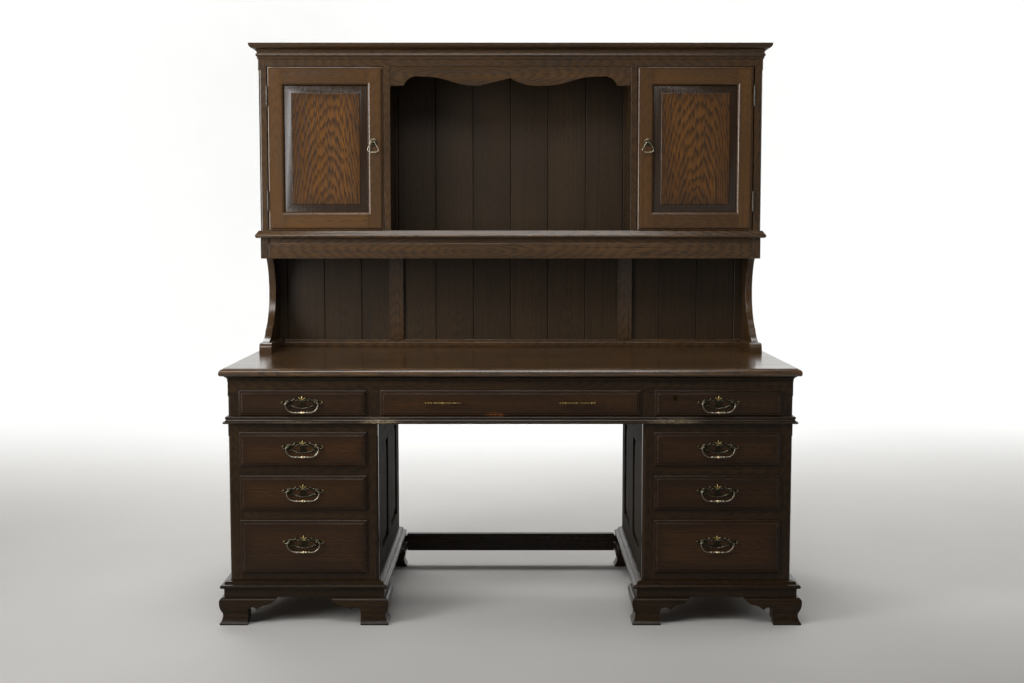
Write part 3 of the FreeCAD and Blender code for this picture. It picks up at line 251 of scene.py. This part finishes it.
def tint(red, green, blue):
    """A colour as it looks on a card, 0 to 255, in the linear values that a shader takes."""
    linear = []
    for value in (red, green, blue):
        share = value / 255
        linear.append(share / 12.92 if share < 0.04 else ((share + 0.055) / 1.055) ** 2.4)
    return (*linear, 1.0)


def stained_oak(
    name, dark, light, rubbed, figure=0.5, rings=170.0, jag=0.6, lean=0.16, heart=(0.015, 0.06),
    edge_darkening=0.4, edge_darkening_width=0.035, sunk_painted_shade=0.0, gloss=0.27, shine=0.32, rub_and_highlight_share=0.3, marks=(),
):
    """Oak under dark stain and varnish: growth rings, fibre, open pores, darker towards a board's edges,
    with painted shade on what is sunk below its front, rubbed light along its arrises as wear and painted
    highlight, and marked where it has been knocked."""
    w = Finish(name)
    grain = w.attribute("grain", "Vector")
    half = w.attribute("half", "Vector")
    tone = w.attribute("tone")
    shift_along = w.math("MULTIPLY", tone, 7.3)
    shift_across = w.math("MULTIPLY", tone, 3.1)
    apart = w.add("ShaderNodeCombineXYZ", {0: shift_along, 1: shift_across, 2: tone})
    place = w.vector("ADD", grain, apart)

    # growth rings of a log that lies a little askew under the board's face, ragged along the fibre
    slow = w.noise(place, (1.6, 6.0, 6.0), detail=3.0)
    sway = w.spread(slow, 0.25, 0.75, -0.012, 0.012)
    depth = w.math("ADD", w.split(grain, 2), w.math("MULTIPLY", w.split(grain, 0), lean))
    depth = w.math("ADD", depth, w.spread(tone, 0.0, 1.0, *heart))
    across = w.math("ADD", w.split(grain, 1), sway)
    log = w.add("ShaderNodeCombineXYZ", {1: across, 2: w.math("ADD", depth, sway)})
    radius = w.add("ShaderNodeVectorMath", {0: log}, output=1, operation="LENGTH")
    streak = w.noise(place, (11.0, 240.0, 240.0), detail=2.0)
    years = w.math("ADD", w.math("MULTIPLY", radius, rings), w.math("MULTIPLY", streak, jag * 2))
    season = w.math("FRACT", years)
    late = w.math("MULTIPLY", w.spread(season, 0.25, 0.85), w.spread(season, 0.9, 1.0, 1.0, 0.0))

    # fibre and pores along the grain
    fibre = w.noise(place, (3.5, 210.0, 210.0), detail=3.0, roughness=0.6)
    pores = w.noise(place, (26.0, 900.0, 900.0), detail=1.0)
    pore = w.spread(pores, 0.6, 0.7)
    figured = w.math("ADD", w.math("MULTIPLY", late, figure), w.spread(fibre, 0.3, 0.7, 0.0, 0.5))
    figured = w.math("ADD", figured, w.math("MULTIPLY", pore, 0.18))
    colour = w.mix(w.spread(figured, 0.0, 1.0), light, dark)
    colour = w.mix(w.spread(tone, 0.0, 1.0, 0.0, 0.3), colour, dark)
    patch = w.noise(place, (2.0, 6.0, 6.0), detail=2.0)
    # the darker colour of random patches and board edges, and of the painted shade on sunk parts
    dark_stain_and_shade = (*[value * 0.55 for value in dark[:3]], 1.0)
    colour = w.mix(w.spread(patch, 0.38, 0.75, 0.0, 0.35), colour, dark_stain_and_shade)

    # darker towards the edges of a board
    inside = w.add("ShaderNodeVectorMath", {0: grain}, operation="ABSOLUTE")
    inside = w.vector("SUBTRACT", half, inside)
    nearest = w.math("MINIMUM", w.split(inside, 0), w.split(inside, 1))
    colour = w.mix(w.spread(nearest, 0.0, edge_darkening_width, edge_darkening, 0.0), colour, dark_stain_and_shade)

    # and painted shade: darker on what is sunk below the front of the board, such as a panel's bevels
    if sunk_painted_shade:
        sunk = w.math("ADD", w.split(grain, 2), w.split(half, 2))
        colour = w.mix(w.spread(sunk, 0.0006, 0.0016, 0.0, sunk_painted_shade), colour, dark_stain_and_shade)

    # arrises rubbed through to lighter wood in places, partly wear and partly a painted highlight along the
    # edges
    edge_rub_and_highlight = w.spread(w.noise(place, (9.0, 60.0, 60.0), detail=3.0), 0.4, 0.66)
    edge_rub_and_highlight = w.math("MULTIPLY", w.attribute("worn"), edge_rub_and_highlight)
    colour = w.mix(w.math("MULTIPLY", edge_rub_and_highlight, rub_and_highlight_share), colour, rubbed)
    spot = w.add("ShaderNodeTexCoord", output="Object")
    for middle, reach, hue, strength in marks:
        away = w.vector("DIVIDE", w.vector("SUBTRACT", spot, middle), reach)
        away = w.add("ShaderNodeVectorMath", {0: away}, output=1, operation="LENGTH")
        torn = w.noise(spot, (90.0, 260.0, 420.0), detail=4.0, roughness=0.65)
        scuff = w.math("MULTIPLY", w.spread(away, 0.35, 1.0, 1.0, 0.0), w.spread(torn, 0.42, 0.6))
        colour = w.mix(w.math("MULTIPLY", scuff, strength), colour, hue)
    w.feed(w.shader.inputs["Base Color"], colour)

    matt = w.spread(fibre, 0.3, 0.7, gloss - 0.05, gloss + 0.07)
    w.feed(w.shader.inputs["Roughness"], w.math("ADD", matt, w.math("MULTIPLY", edge_rub_and_highlight, 0.08)))
    w.shader.inputs["Specular IOR Level"].default_value = shine
    relief = w.math("SUBTRACT", w.math("MULTIPLY", fibre, 0.4), w.math("MULTIPLY", pore, 0.6))
    bump = w.add("ShaderNodeBump", {"Strength": 0.1, "Distance": 0.0005, "Height": relief})
    w.feed(w.shader.inputs["Normal"], bump)
    return w.material


# pale colour of rubbed arrises: partly wear, partly a painted highlight along the edges
pale_wear_and_highlight = tint(112, 96, 76)
case_oak = stained_oak("case_oak", tint(23, 15, 7), tint(52, 36, 18), pale_wear_and_highlight, figure=0.35, shine=0.18)
finish_node("bracket_feet", [case_oak], 0.0018)

# Plinths: a moulded strip of oak round the front and both sides of each pedestal, mitred at the
# corners and closed behind by a plain rail. The pedestals stand in them.
finish_node("plinths", [case_oak], 0.0012)

# Rear stretcher: two oak rails, the upper one stub-tenoned to the plinths, that hold the pedestals
# apart at the back.
finish_node("rear_stretcher", [case_oak], 0.0015)

# Pedestals: framed oak sides with raised panels, duller than the fronts, a face frame of stiles
# and rails, and plain boards for bottoms, backs and the runners that carry the drawers.
side_oak = stained_oak(
    "side_oak", tint(24, 18, 11), tint(46, 36, 24), pale_wear_and_highlight,
    figure=0.4, gloss=0.7, shine=0.06, rub_and_highlight_share=0.15,
)
finish_node("pedestal_side_frames", [side_oak], 0.0012)
finish_node("pedestal_side_panels", [side_oak], 0.001)
face_oak = stained_oak(
    "face_oak", tint(24, 16, 8), tint(52, 36, 19), pale_wear_and_highlight,
    figure=0.35, edge_darkening=0.2, shine=0.2, rub_and_highlight_share=0.0,
)
finish_node("pedestal_face_frames", [face_oak], 0.0005)
raw_oak = stained_oak(
    "raw_oak", tint(88, 64, 40), tint(142, 110, 74), tint(160, 130, 92),
    figure=0.5, edge_darkening=0.15, gloss=0.7, shine=0.1,
)
for node in ("pedestal_bottoms", "drawer_runners"):
    finish_node(node, [raw_oak], 0.0012)

# Waist board: one moulded oak board right across the pedestals and the kneehole, scuffed pale
# where chairs and knees have knocked its edge.
waist_low, waist_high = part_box("waist_board")
waist_edge = (waist_low.z + waist_high.z) / 2
scuffed = tint(150, 134, 104)
waist_oak = stained_oak(
    "waist_oak", tint(25, 17, 9), tint(58, 41, 23), tint(120, 104, 80), figure=0.35, rub_and_highlight_share=0.7,
    marks=[
        ((-0.365, waist_low.y, waist_edge), (0.075, 0.012, 0.014), scuffed, 0.8),
        ((0.46, waist_low.y, waist_edge), (0.1, 0.012, 0.014), scuffed, 0.7),
        ((-0.6, waist_low.y, waist_edge), (0.13, 0.008, 0.012), scuffed, 0.3),
    ],
)
finish_node("waist_board", [waist_oak], 0.0012)

# Frieze: the shallow drawer case above the waist board, with its own face frame, ends and partitions.
# It carries the desktop.
for node in ("frieze_face_frame", "frieze_uprights"):
    finish_node(node, [face_oak], 0.0005)

# Desktop: one wide oak top with a moulded edge, waxed and worn by use, on a coved bed moulding.
# Its front edge is rubbed to a lighter brown, partly wear and partly a painted highlight.
top_oak = stained_oak(
    "top_oak", tint(42, 29, 16), tint(92, 66, 38), tint(176, 124, 68), figure=0.45, edge_darkening=0.12,
    gloss=0.15, shine=0.7, rub_and_highlight_share=0.8,
)
finish_node("desktop", [top_oak], 0.0015)
finish_node("bed_moulding", [case_oak], 0.0008)

# Drawers: lipped oak fronts with a raised field, on boxes of plain unstained oak that slide on the
# runners. The middle drawer is worn to bare wood where it is pulled open from below.
drawer_darks = tint(31, 19, 8)
drawer_lights = tint(60, 37, 15)
drawer_oak = stained_oak(
    "drawer_oak", drawer_darks, drawer_lights, pale_wear_and_highlight,
    figure=0.25, edge_darkening=0.6, edge_darkening_width=0.055, shine=0.24, rub_and_highlight_share=0.2,
)
middle_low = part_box("centre_frieze_drawer")[0]
pulled_at = (-0.043, middle_low.y, middle_low.z + 0.004)
pulled_reach = (0.036, 0.02, 0.012)
middle_drawer_oak = stained_oak(
    "middle_drawer_oak", drawer_darks, drawer_lights, pale_wear_and_highlight,
    figure=0.25, edge_darkening=0.5, edge_darkening_width=0.04, shine=0.24, rub_and_highlight_share=0.2,
    marks=[(pulled_at, pulled_reach, tint(132, 78, 34), 0.85)],
)
drawer_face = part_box("pedestal_face_frames")[0].y


def front_or_box(low, high):
    """Nought for the front of a drawer, which reaches furthest forward, and one for the box behind it."""
    return 0 if low.y < drawer_face else 1


for node in frame["nodes"]:
    if node.endswith("_drawer"):
        front_oak = middle_drawer_oak if node.startswith("centre") else drawer_oak
        finish_node(node, [front_oak, raw_oak], 0.0012, front_or_box)


# Handle plates: cast and pierced bronze with a turned post at each end, gone nearly black, and
# rubbed to brass on whatever stands proud.
def old_bronze(name, dark, rubbed, gloss=0.3, cloud_share=0.3, grip=0.0):
    """Cast metal: dark in the hollows, bare on worn edges and, where it is gripped, near the middle."""
    w = Finish(name)
    place = w.add("ShaderNodeTexCoord", output="Object")
    cloud = w.noise(place, (160.0, 160.0, 160.0), detail=3.0)
    fine = w.noise(place, (900.0, 900.0, 900.0), detail=2.0)
    edges = w.math("MULTIPLY", w.attribute("worn"), 0.7)
    bare = w.math("ADD", edges, w.spread(cloud, 0.5, 0.75, 0.0, cloud_share))
    if grip:
        along = w.math("ABSOLUTE", w.split(w.attribute("grain", "Vector"), 0))
        bare = w.math("ADD", bare, w.spread(along, grip * 0.5, grip, 0.85, 0.0))
    bare = w.math("MINIMUM", bare, 1.0)
    w.feed(w.shader.inputs["Base Color"], w.mix(bare, dark, rubbed))
    w.feed(w.shader.inputs["Roughness"], w.spread(fine, 0.3, 0.7, gloss - 0.06, gloss + 0.14))
    w.shader.inputs["Metallic"].default_value = 1.0
    bump = w.add("ShaderNodeBump", {"Strength": 0.2, "Distance": 0.0003, "Height": fine})
    w.feed(w.shader.inputs["Normal"], bump)
    return w.material


bronze = old_bronze("old_bronze", tint(46, 42, 32), tint(112, 98, 68), cloud_share=0.15)
plates = [node for node in frame["nodes"] if node.endswith("_plate")]
for node in plates:
    finish_node(node, [bronze], 0.0006)


# Scrollwork of the plates: cast ribs with curled ends that run from the tips over the posts to a
# leaf, with a three-petalled finial at the top. Each rib follows a drawn line; rubbed to brass.
class Recipe(Tree):
    """A tree of geometry nodes with named inputs, worked into one plain mesh."""

    def __init__(self, name):
        self.tree = bpy.data.node_groups.new(name, "GeometryNodeTree")
        self.tree.interface.new_socket("Geometry", in_out="INPUT", socket_type="NodeSocketGeometry")
        self.tree.interface.new_socket("Geometry", in_out="OUTPUT", socket_type="NodeSocketGeometry")
        self.start = self.tree.nodes.new("NodeGroupInput")
        self.end = self.tree.nodes.new("NodeGroupOutput")
        self.values = {}

    def named(self, name, value, kind="NodeSocketFloat"):
        """A named input of the tree and the value that it is given."""
        socket = self.tree.interface.new_socket(name, in_out="INPUT", socket_type=kind)
        self.values[socket.identifier] = value
        return self.start.outputs[name]

    def reading(self, name):
        return self.add("GeometryNodeInputNamedAttribute", {"Name": name}, data_type="FLOAT")

    def together(self, *parts):
        node = self.tree.nodes.new("GeometryNodeJoinGeometry")
        for part in parts:
            self.tree.links.new(part, node.inputs[0])
        return node.outputs[0]

    def work(self, result, finish, pattern):
        """Work a pattern's mesh by the tree, and give the plain mesh that comes of it."""
        smooth = self.add("GeometryNodeSetShadeSmooth", {0: result})
        whole = self.add("GeometryNodeRealizeInstances", {0: smooth})
        finished = self.named("Finish", finish, "NodeSocketMaterial")
        done = self.add("GeometryNodeSetMaterial", {"Geometry": whole, "Material": finished})
        self.tree.links.new(done, self.end.inputs[0])
        blank = bpy.data.objects.new("blank", pattern)
        bpy.context.scene.collection.objects.link(blank)
        worker = blank.modifiers.new("worker", "NODES")
        worker.node_group = self.tree
        for identifier, value in self.values.items():
            worker[identifier] = value
        worked = blank.evaluated_get(bpy.context.evaluated_depsgraph_get())
        mesh = bpy.data.meshes.new_from_object(worked)
        bpy.data.objects.remove(blank)
        bpy.data.meshes.remove(pattern)
        return mesh


def drawn_lines(name, lines):
    """Lines of (x, y, z, rib, bead) points in millimetres, as a mesh of edges that carries both radii."""
    points = []
    edges = []
    ribs = []
    beads = []
    for line in lines:
        for number, (x, y, z, rib, bead) in enumerate(line):
            if number:
                edges.append((len(points) - 1, len(points)))
            points.append((x / 1000, y / 1000, z / 1000))
            ribs.append(rib / 1000)
            beads.append(bead / 1000)
    mesh = bpy.data.meshes.new(name)
    mesh.from_pydata(points, edges, [])
    for label, values in (("rib", ribs), ("bead", beads)):
        mesh.attributes.new(label, "FLOAT", "POINT").data.foreach_set("value", values)
    return mesh


def both_sides(lines):
    """Lines of (x, z, rib, bead) points of the right half, in front of the plate, and their mirror images."""
    front = -2.3
    sided = []
    for side in (1, -1):
        for line in lines:
            sided.append([(x * side, front, z, rib, bead) for x, z, rib, bead in line])
    return sided


def cast_ribs(name, lines, finish):
    """Round ribs along drawn lines, with a bead wherever a point has one."""
    recipe = Recipe(name)
    path = recipe.add("GeometryNodeMeshToCurve", {0: recipe.start.outputs[0]})
    path = recipe.add("GeometryNodeCurveSplineType", {"Curve": path}, spline_type="CATMULL_ROM")
    path = recipe.add("GeometryNodeSetSplineResolution", {"Geometry": path, "Resolution": 5})
    round_rib = {"Resolution": 8, "Radius": recipe.named("Rib share", 1.0)}
    profile = recipe.add("GeometryNodeCurvePrimitiveCircle", round_rib)
    ribs = recipe.add(
        "GeometryNodeCurveToMesh",
        {"Curve": path, "Profile Curve": profile, "Scale": recipe.reading("rib"), "Fill Caps": True},
    )
    round_bead = {"Segments": 12, "Rings": 8, "Radius": recipe.named("Bead share", 1.0)}
    bead = recipe.add("GeometryNodeMeshUVSphere", round_bead)
    beads = recipe.add(
        "GeometryNodeInstanceOnPoints",
        {"Points": recipe.start.outputs[0], "Instance": bead, "Scale": recipe.reading("bead")},
    )
    return recipe.work(recipe.together(ribs, beads), finish, drawn_lines(name, lines))


scroll_lines = both_sides([
    [(58.2, 0.6, 1.0, 0), (55.8, -2.6, 1.2, 0), (50, -3.6, 1.3, 0), (45.6, 0.4, 1.3, 0),
     (43.5, 5.4, 1.3, 0), (38.5, 8.0, 1.3, 0), (32.5, 7.2, 1.2, 0), (27.5, 6.4, 1.2, 0),
     (23.5, 9.4, 1.2, 0), (22, 11.6, 0.9, 2.2)],
    [(18.5, 4.5, 0.8, 1.5), (15.2, 7.4, 1.0, 0), (10, 7.2, 1.1, 0), (5.5, 5.0, 1.2, 0), (0, 6.4, 1.2, 0)],
    [(33, -8.4, 0.8, 1.7), (29.8, -7.0, 1.0, 0), (26.5, -9.4, 1.2, 0), (18, -13.0, 1.2, 0),
     (9, -14.8, 1.1, 0), (0, -16.4, 1.0, 1.6)],
])
finial_lines = both_sides([
    [(58.2, 0.6, 1.0, 0), (55.5, 3.2, 0.9, 1.9)],
    [(0, 9.0, 1.6, 0), (4.6, 10.8, 2.0, 0), (8.0, 13.6, 1.5, 1.6)],
])
finial_lines.append(
    [(0, -2.3, 7.0, 1.5, 1.9), (0, -2.7, 13.0, 2.6, 0), (0, -2.3, 17.4, 1.7, 0), (0, -2.3, 20.0, 0.7, 0)]
)
dull_bronze = old_bronze("dull_scrolls", tint(88, 84, 70), tint(176, 166, 138), gloss=0.26, cloud_share=0.8)
gilt = old_bronze("gilt_finials", tint(142, 124, 80), tint(208, 186, 130), gloss=0.3, cloud_share=0.9)
scrollwork = cast_ribs("scrolls", scroll_lines, dull_bronze)
finials = cast_ribs("finials", finial_lines, gilt)
finial_rise = 0.021
for node in plates:
    low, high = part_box(node)
    for label, pattern in (("scrolls", scrollwork), ("finial", finials)):
        mesh = pattern.copy()
        for point in mesh.vertices:
            point.co += Vector(((low.x + high.x) / 2, high.y, high.z - finial_rise))
        piece = bpy.data.objects.new(f"{label}_{node}", mesh)
        bpy.context.scene.collection.objects.link(piece)
        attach(piece, frame["nodes"][node]["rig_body"])

# Bails: bent bronze wire with turned beads, swinging in the posts of the plates, bright in the
# middle from the fingers that pull it.
bail_bronze = old_bronze(
    "bail_bronze", tint(132, 126, 112), tint(226, 208, 168), gloss=0.22, cloud_share=0.15, grip=0.009
)
for node in frame["nodes"]:
    if node.endswith("_bail"):
        finish_node(node, [bail_bronze], 0.0003)

# Bar pulls of the middle drawer: turned brass bars on two posts each, rubbed along their beads.
pull_brass = old_bronze("pull_brass", tint(92, 78, 50), tint(206, 172, 106), gloss=0.26, cloud_share=0.8)
finish_node("centre_drawer_pulls", [pull_brass], 0.0003)

# Lock of the right frieze drawer: a bronze barrel with a keyhole, toned down to the colour of the
# drawer, that turns a cam behind the rail.
lock_bronze = old_bronze("lock_bronze", tint(50, 36, 20), tint(96, 74, 42), gloss=0.42)
finish_node("right_frieze_lock", [lock_bronze], 0.0003)

# Backs of the desk: thin oak boards let in behind the frames, stained but never polished.
back_oak = stained_oak(
    "back_oak", tint(30, 22, 12), tint(54, 40, 24), tint(70, 54, 36),
    figure=0.25, edge_darkening=0.15, edge_darkening_width=0.02, gloss=0.4, shine=0.25, rub_and_highlight_share=0.1,
)
finish_node("desk_backs", [back_oak], 0.001)

# Hutch brackets: shaped oak sides on shoe blocks with rounded noses, which carry the shelf and
# the stepped apron under it.
hutch_oak = stained_oak(
    "hutch_oak", tint(36, 24, 12), tint(82, 57, 30), tint(130, 104, 72),
    figure=0.35, edge_darkening=0.25, gloss=0.24, shine=0.5, rub_and_highlight_share=0.2,
)
for node in ("hutch_shoes", "hutch_brackets", "shelf_apron"):
    finish_node(node, [hutch_oak], 0.0015)
finish_node("mid_shelf", [top_oak], 0.001)

# Upper case of the hutch: oak sides and partitions behind a face frame, under a top with a cornice,
# and a scalloped valance over the open niche.
for node in ("hutch_uprights", "hutch_face_frame", "hutch_top", "cornice", "valance"):
    finish_node(node, [hutch_oak], 0.0008)

# Back boards: tongued oak boards with a bevelled joint, two battens and a stepped strip along the
# desktop, nailed to the case from behind.
finish_node("hutch_back_boards", [back_oak], 0.0006)
finish_node("hutch_back_battens", [hutch_oak], 0.0012)


def nail_places():
    """Two nails in each board of the back, at the top, at the shelf and at the foot."""
    low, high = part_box("hutch_back_boards")
    shelf_low, shelf_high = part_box("mid_shelf")
    board_width = 0.123
    edge = 0.028
    places = []
    for height in (low.z + 0.012, (shelf_low.z + shelf_high.z) / 2, high.z - 0.01):
        boards = math.ceil(high.x / board_width)
        for number in range(-boards, boards):
            start = max(number * board_width, low.x)
            end = min((number + 1) * board_width, high.x)
            for x in (start + edge, end - edge):
                if start < x < end:
                    places.append((x, high.y, height))
    return places


nails = Recipe("nail_heads")
round_head = {"Segments": 10, "Rings": 6, "Radius": nails.named("Head", 0.0034)}
head = nails.add("GeometryNodeMeshUVSphere", round_head)
dome = nails.add("GeometryNodeTransform", {"Geometry": head, "Scale": (1.0, 0.35, 1.0)})
driven = nails.add("GeometryNodeInstanceOnPoints", {"Points": nails.start.outputs[0], "Instance": dome})
nail_pattern = bpy.data.meshes.new("nail_places")
nail_pattern.from_pydata(nail_places(), [], [])
rusty_iron = old_bronze("rusty_iron", tint(96, 84, 72), tint(150, 116, 86), gloss=0.5, cloud_share=0.9)
back_nails = bpy.data.objects.new("back_nails", nails.work(driven, rusty_iron, nail_pattern))
bpy.context.scene.collection.objects.link(back_nails)
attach(back_nails, frame["nodes"]["hutch_back_boards"]["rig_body"])

# Doors: oak frames with a moulded lip round raised panels of strongly figured oak, stained amber.
# The panels are darker towards their bevels, where shade is painted on the sunk bevels.
frame_oak = stained_oak(
    "door_frame_oak", tint(54, 35, 16), tint(90, 61, 29), tint(150, 124, 88),
    figure=0.25, edge_darkening=0.2, edge_darkening_width=0.02, gloss=0.24, shine=0.5, rub_and_highlight_share=0.2,
)
field_oak = stained_oak(
    "door_field_oak", tint(41, 25, 11), tint(106, 68, 28), tint(150, 120, 80),
    figure=0.5, rings=120.0, jag=0.85, lean=0.22, heart=(0.08, 0.1), edge_darkening=0.55, edge_darkening_width=0.085,
    sunk_painted_shade=0.8, gloss=0.24, shine=0.5, rub_and_highlight_share=0.0,
)
panel_least = 0.2


def frame_or_panel(low, high):
    """Nought for a stile or rail of a door, one for its panel, which is wide both ways."""
    return 1 if high.x - low.x > panel_least and high.z - low.z > panel_least else 0


for node in ("left_door", "right_door"):
    finish_node(node, [frame_oak, field_oak], 0.0012, frame_or_panel)

# Door furniture: iron butt hinges, dull but for their rubbed knuckles, and pear-shaped rings on turned
# plates of dull brass. The catches behind the doors are small oak blocks.
hinge_iron = old_bronze("hinge_iron", tint(84, 80, 74), tint(150, 146, 138), gloss=0.34)
dull_brass = old_bronze("dull_brass", tint(74, 68, 54), tint(130, 120, 96), gloss=0.3, cloud_share=0.4)
ring_brass = old_bronze("ring_brass", tint(150, 142, 124), tint(220, 210, 182), gloss=0.2, cloud_share=0.7)
finish_node("hinge_frame_leaves", [hinge_iron], 0.0002)
leaf_least = 0.04


def hinge_or_plate(low, high):
    """Nought for a hinge leaf, which is tall, and one for the plate of the ring."""
    return 0 if high.z - low.z > leaf_least else 1


for node in ("left_door_fittings", "right_door_fittings"):
    finish_node(node, [hinge_iron, dull_brass], 0.0002, hinge_or_plate)
for node in ("left_door_ring", "right_door_ring"):
    finish_node(node, [ring_brass], 0.0002)
finish_node("door_catches", [case_oak], 0.001)


# Floor and backdrop: one pale sheet that curves up behind the desk, and stays pale to the eye far
# away from the lamps.
def pale_sheet():
    half_width, front, back, height, bend = 40.0, -60.0, 8.0, 9.0, 2.5
    profile = [(front, 0.0), (back - bend, 0.0)]
    steps = 16
    for step in range(1, steps + 1):
        turn = math.pi / 2 * step / steps
        profile.append((back - bend + bend * math.sin(turn), bend - bend * math.cos(turn)))
    profile.append((back, height))
    mesh = bpy.data.meshes.new("pale_sheet")
    points = [(side * half_width, y, z) for y, z in profile for side in (-1, 1)]
    faces = [(2 * row, 2 * row + 1, 2 * row + 3, 2 * row + 2) for row in range(len(profile) - 1)]
    mesh.from_pydata(points, [], faces)
    mesh.shade_smooth()
    return mesh


def looked_at(tree):
    """One where the eye, a reflection or glass looks, and nought where lamplight falls."""
    looks = 0.0
    for ray in ("Is Camera Ray", "Is Glossy Ray", "Is Transmission Ray"):
        hit = tree.add("ShaderNodeLightPath", output=ray)
        looks = tree.add("ShaderNodeMath", {0: looks, 1: hit}, operation="ADD", use_clamp=True)
    return looks


w = Finish("pale_sheet")
spot = w.add("ShaderNodeTexCoord", output="Object")
grit = w.noise(spot, (2.0, 2.0, 2.0), detail=4.0)
floor = w.mix(grit, (0.42, 0.41, 0.395, 1), (0.47, 0.46, 0.44, 1))
wall = w.mix(grit, (0.83, 0.84, 0.84, 1), (0.87, 0.87, 0.86, 1))
w.feed(w.shader.inputs["Base Color"], w.mix(w.spread(w.split(spot, 1), 0.5, 4.0), floor, wall))
w.shader.inputs["Roughness"].default_value = 0.85
forward = w.math("MINIMUM", w.split(spot, 1), 0.0)
from_desk = w.add("ShaderNodeCombineXYZ", {0: w.split(spot, 0), 1: forward})
away = w.add("ShaderNodeVectorMath", {0: from_desk}, output=1, operation="LENGTH")
paleness = w.spread(away, 1.4, 5.5, 0.0, 0.4)
w.shader.inputs["Emission Color"].default_value = (1.0, 0.99, 0.97, 1)
w.feed(w.shader.inputs["Emission Strength"], w.math("MULTIPLY", looked_at(w), paleness))
sheet = bpy.data.objects.new("floor_and_backdrop", pale_sheet())
sheet.data.materials.append(w.material)
bpy.context.scene.collection.objects.link(sheet)


# Light: a soft window at the left, a skylight in front, a lamp overhead, weak ones at the right and
# behind, and a strip for the backdrop, in an even pale surround.
def soft_light(name, place, target, width, height, power, spread):
    lamp = bpy.data.lights.new(name, "AREA")
    lamp.shape = "RECTANGLE"
    lamp.size = width
    lamp.size_y = height
    lamp.energy = power
    lamp.spread = math.radians(spread)
    light = bpy.data.objects.new(name, lamp)
    light.location = place
    light.rotation_euler = (Vector(target) - Vector(place)).to_track_quat("-Z", "Y").to_euler()
    bpy.context.scene.collection.objects.link(light)


soft_light("window", (-2.45, -1.9, 1.6), (-0.3, 0, 1.15), 1.2, 1.9, 28, 100)
soft_light("skylight", (-0.55, -2.4, 3.35), (-0.2, 0.1, 1.0), 3.0, 1.0, 19, 90)
soft_light("overhead", (0.2, -0.2, 3.6), (0.1, -0.1, 0.8), 2.4, 1.2, 7, 90)
soft_light("backdrop", (0, 3.8, 5.4), (0, 6.2, 0.8), 10.0, 2.0, 420, 180)
soft_light("right_fill", (3.4, 1.0, 2.2), (0.4, 0, 0.8), 1.6, 1.6, 12, 120)
soft_light("rear_fill", (-1.6, 3.4, 4.0), (0, 0.3, 0.9), 2.4, 1.4, 26, 120)
world = bpy.data.worlds.new("even_surround")
world.use_nodes = True
background = world.node_tree.nodes["Background"]
background.inputs["Color"].default_value = (1.0, 0.96, 0.9, 1)
background.inputs["Strength"].default_value = 0.16
bpy.context.scene.world = world

# Camera: level with the hutch's lower shelf and pitched down a little, as the photograph was taken.
eye_aside, eye_distance, eye_height, pitch_down = 0.0045, 3.8486, 1.1222, 4.743
lens = bpy.data.cameras.new("camera")
lens.sensor_fit = "HORIZONTAL"
lens.sensor_width = 36.0
lens.lens = 48.5
camera = bpy.data.objects.new("camera", lens)
camera.location = (eye_aside, drawer_face - eye_distance, eye_height)
camera.rotation_euler = (math.radians(90 - pitch_down), 0, 0)
bpy.context.scene.collection.objects.link(camera)
bpy.context.scene.camera = camera
bpy.context.scene.view_settings.view_transform = "Standard"
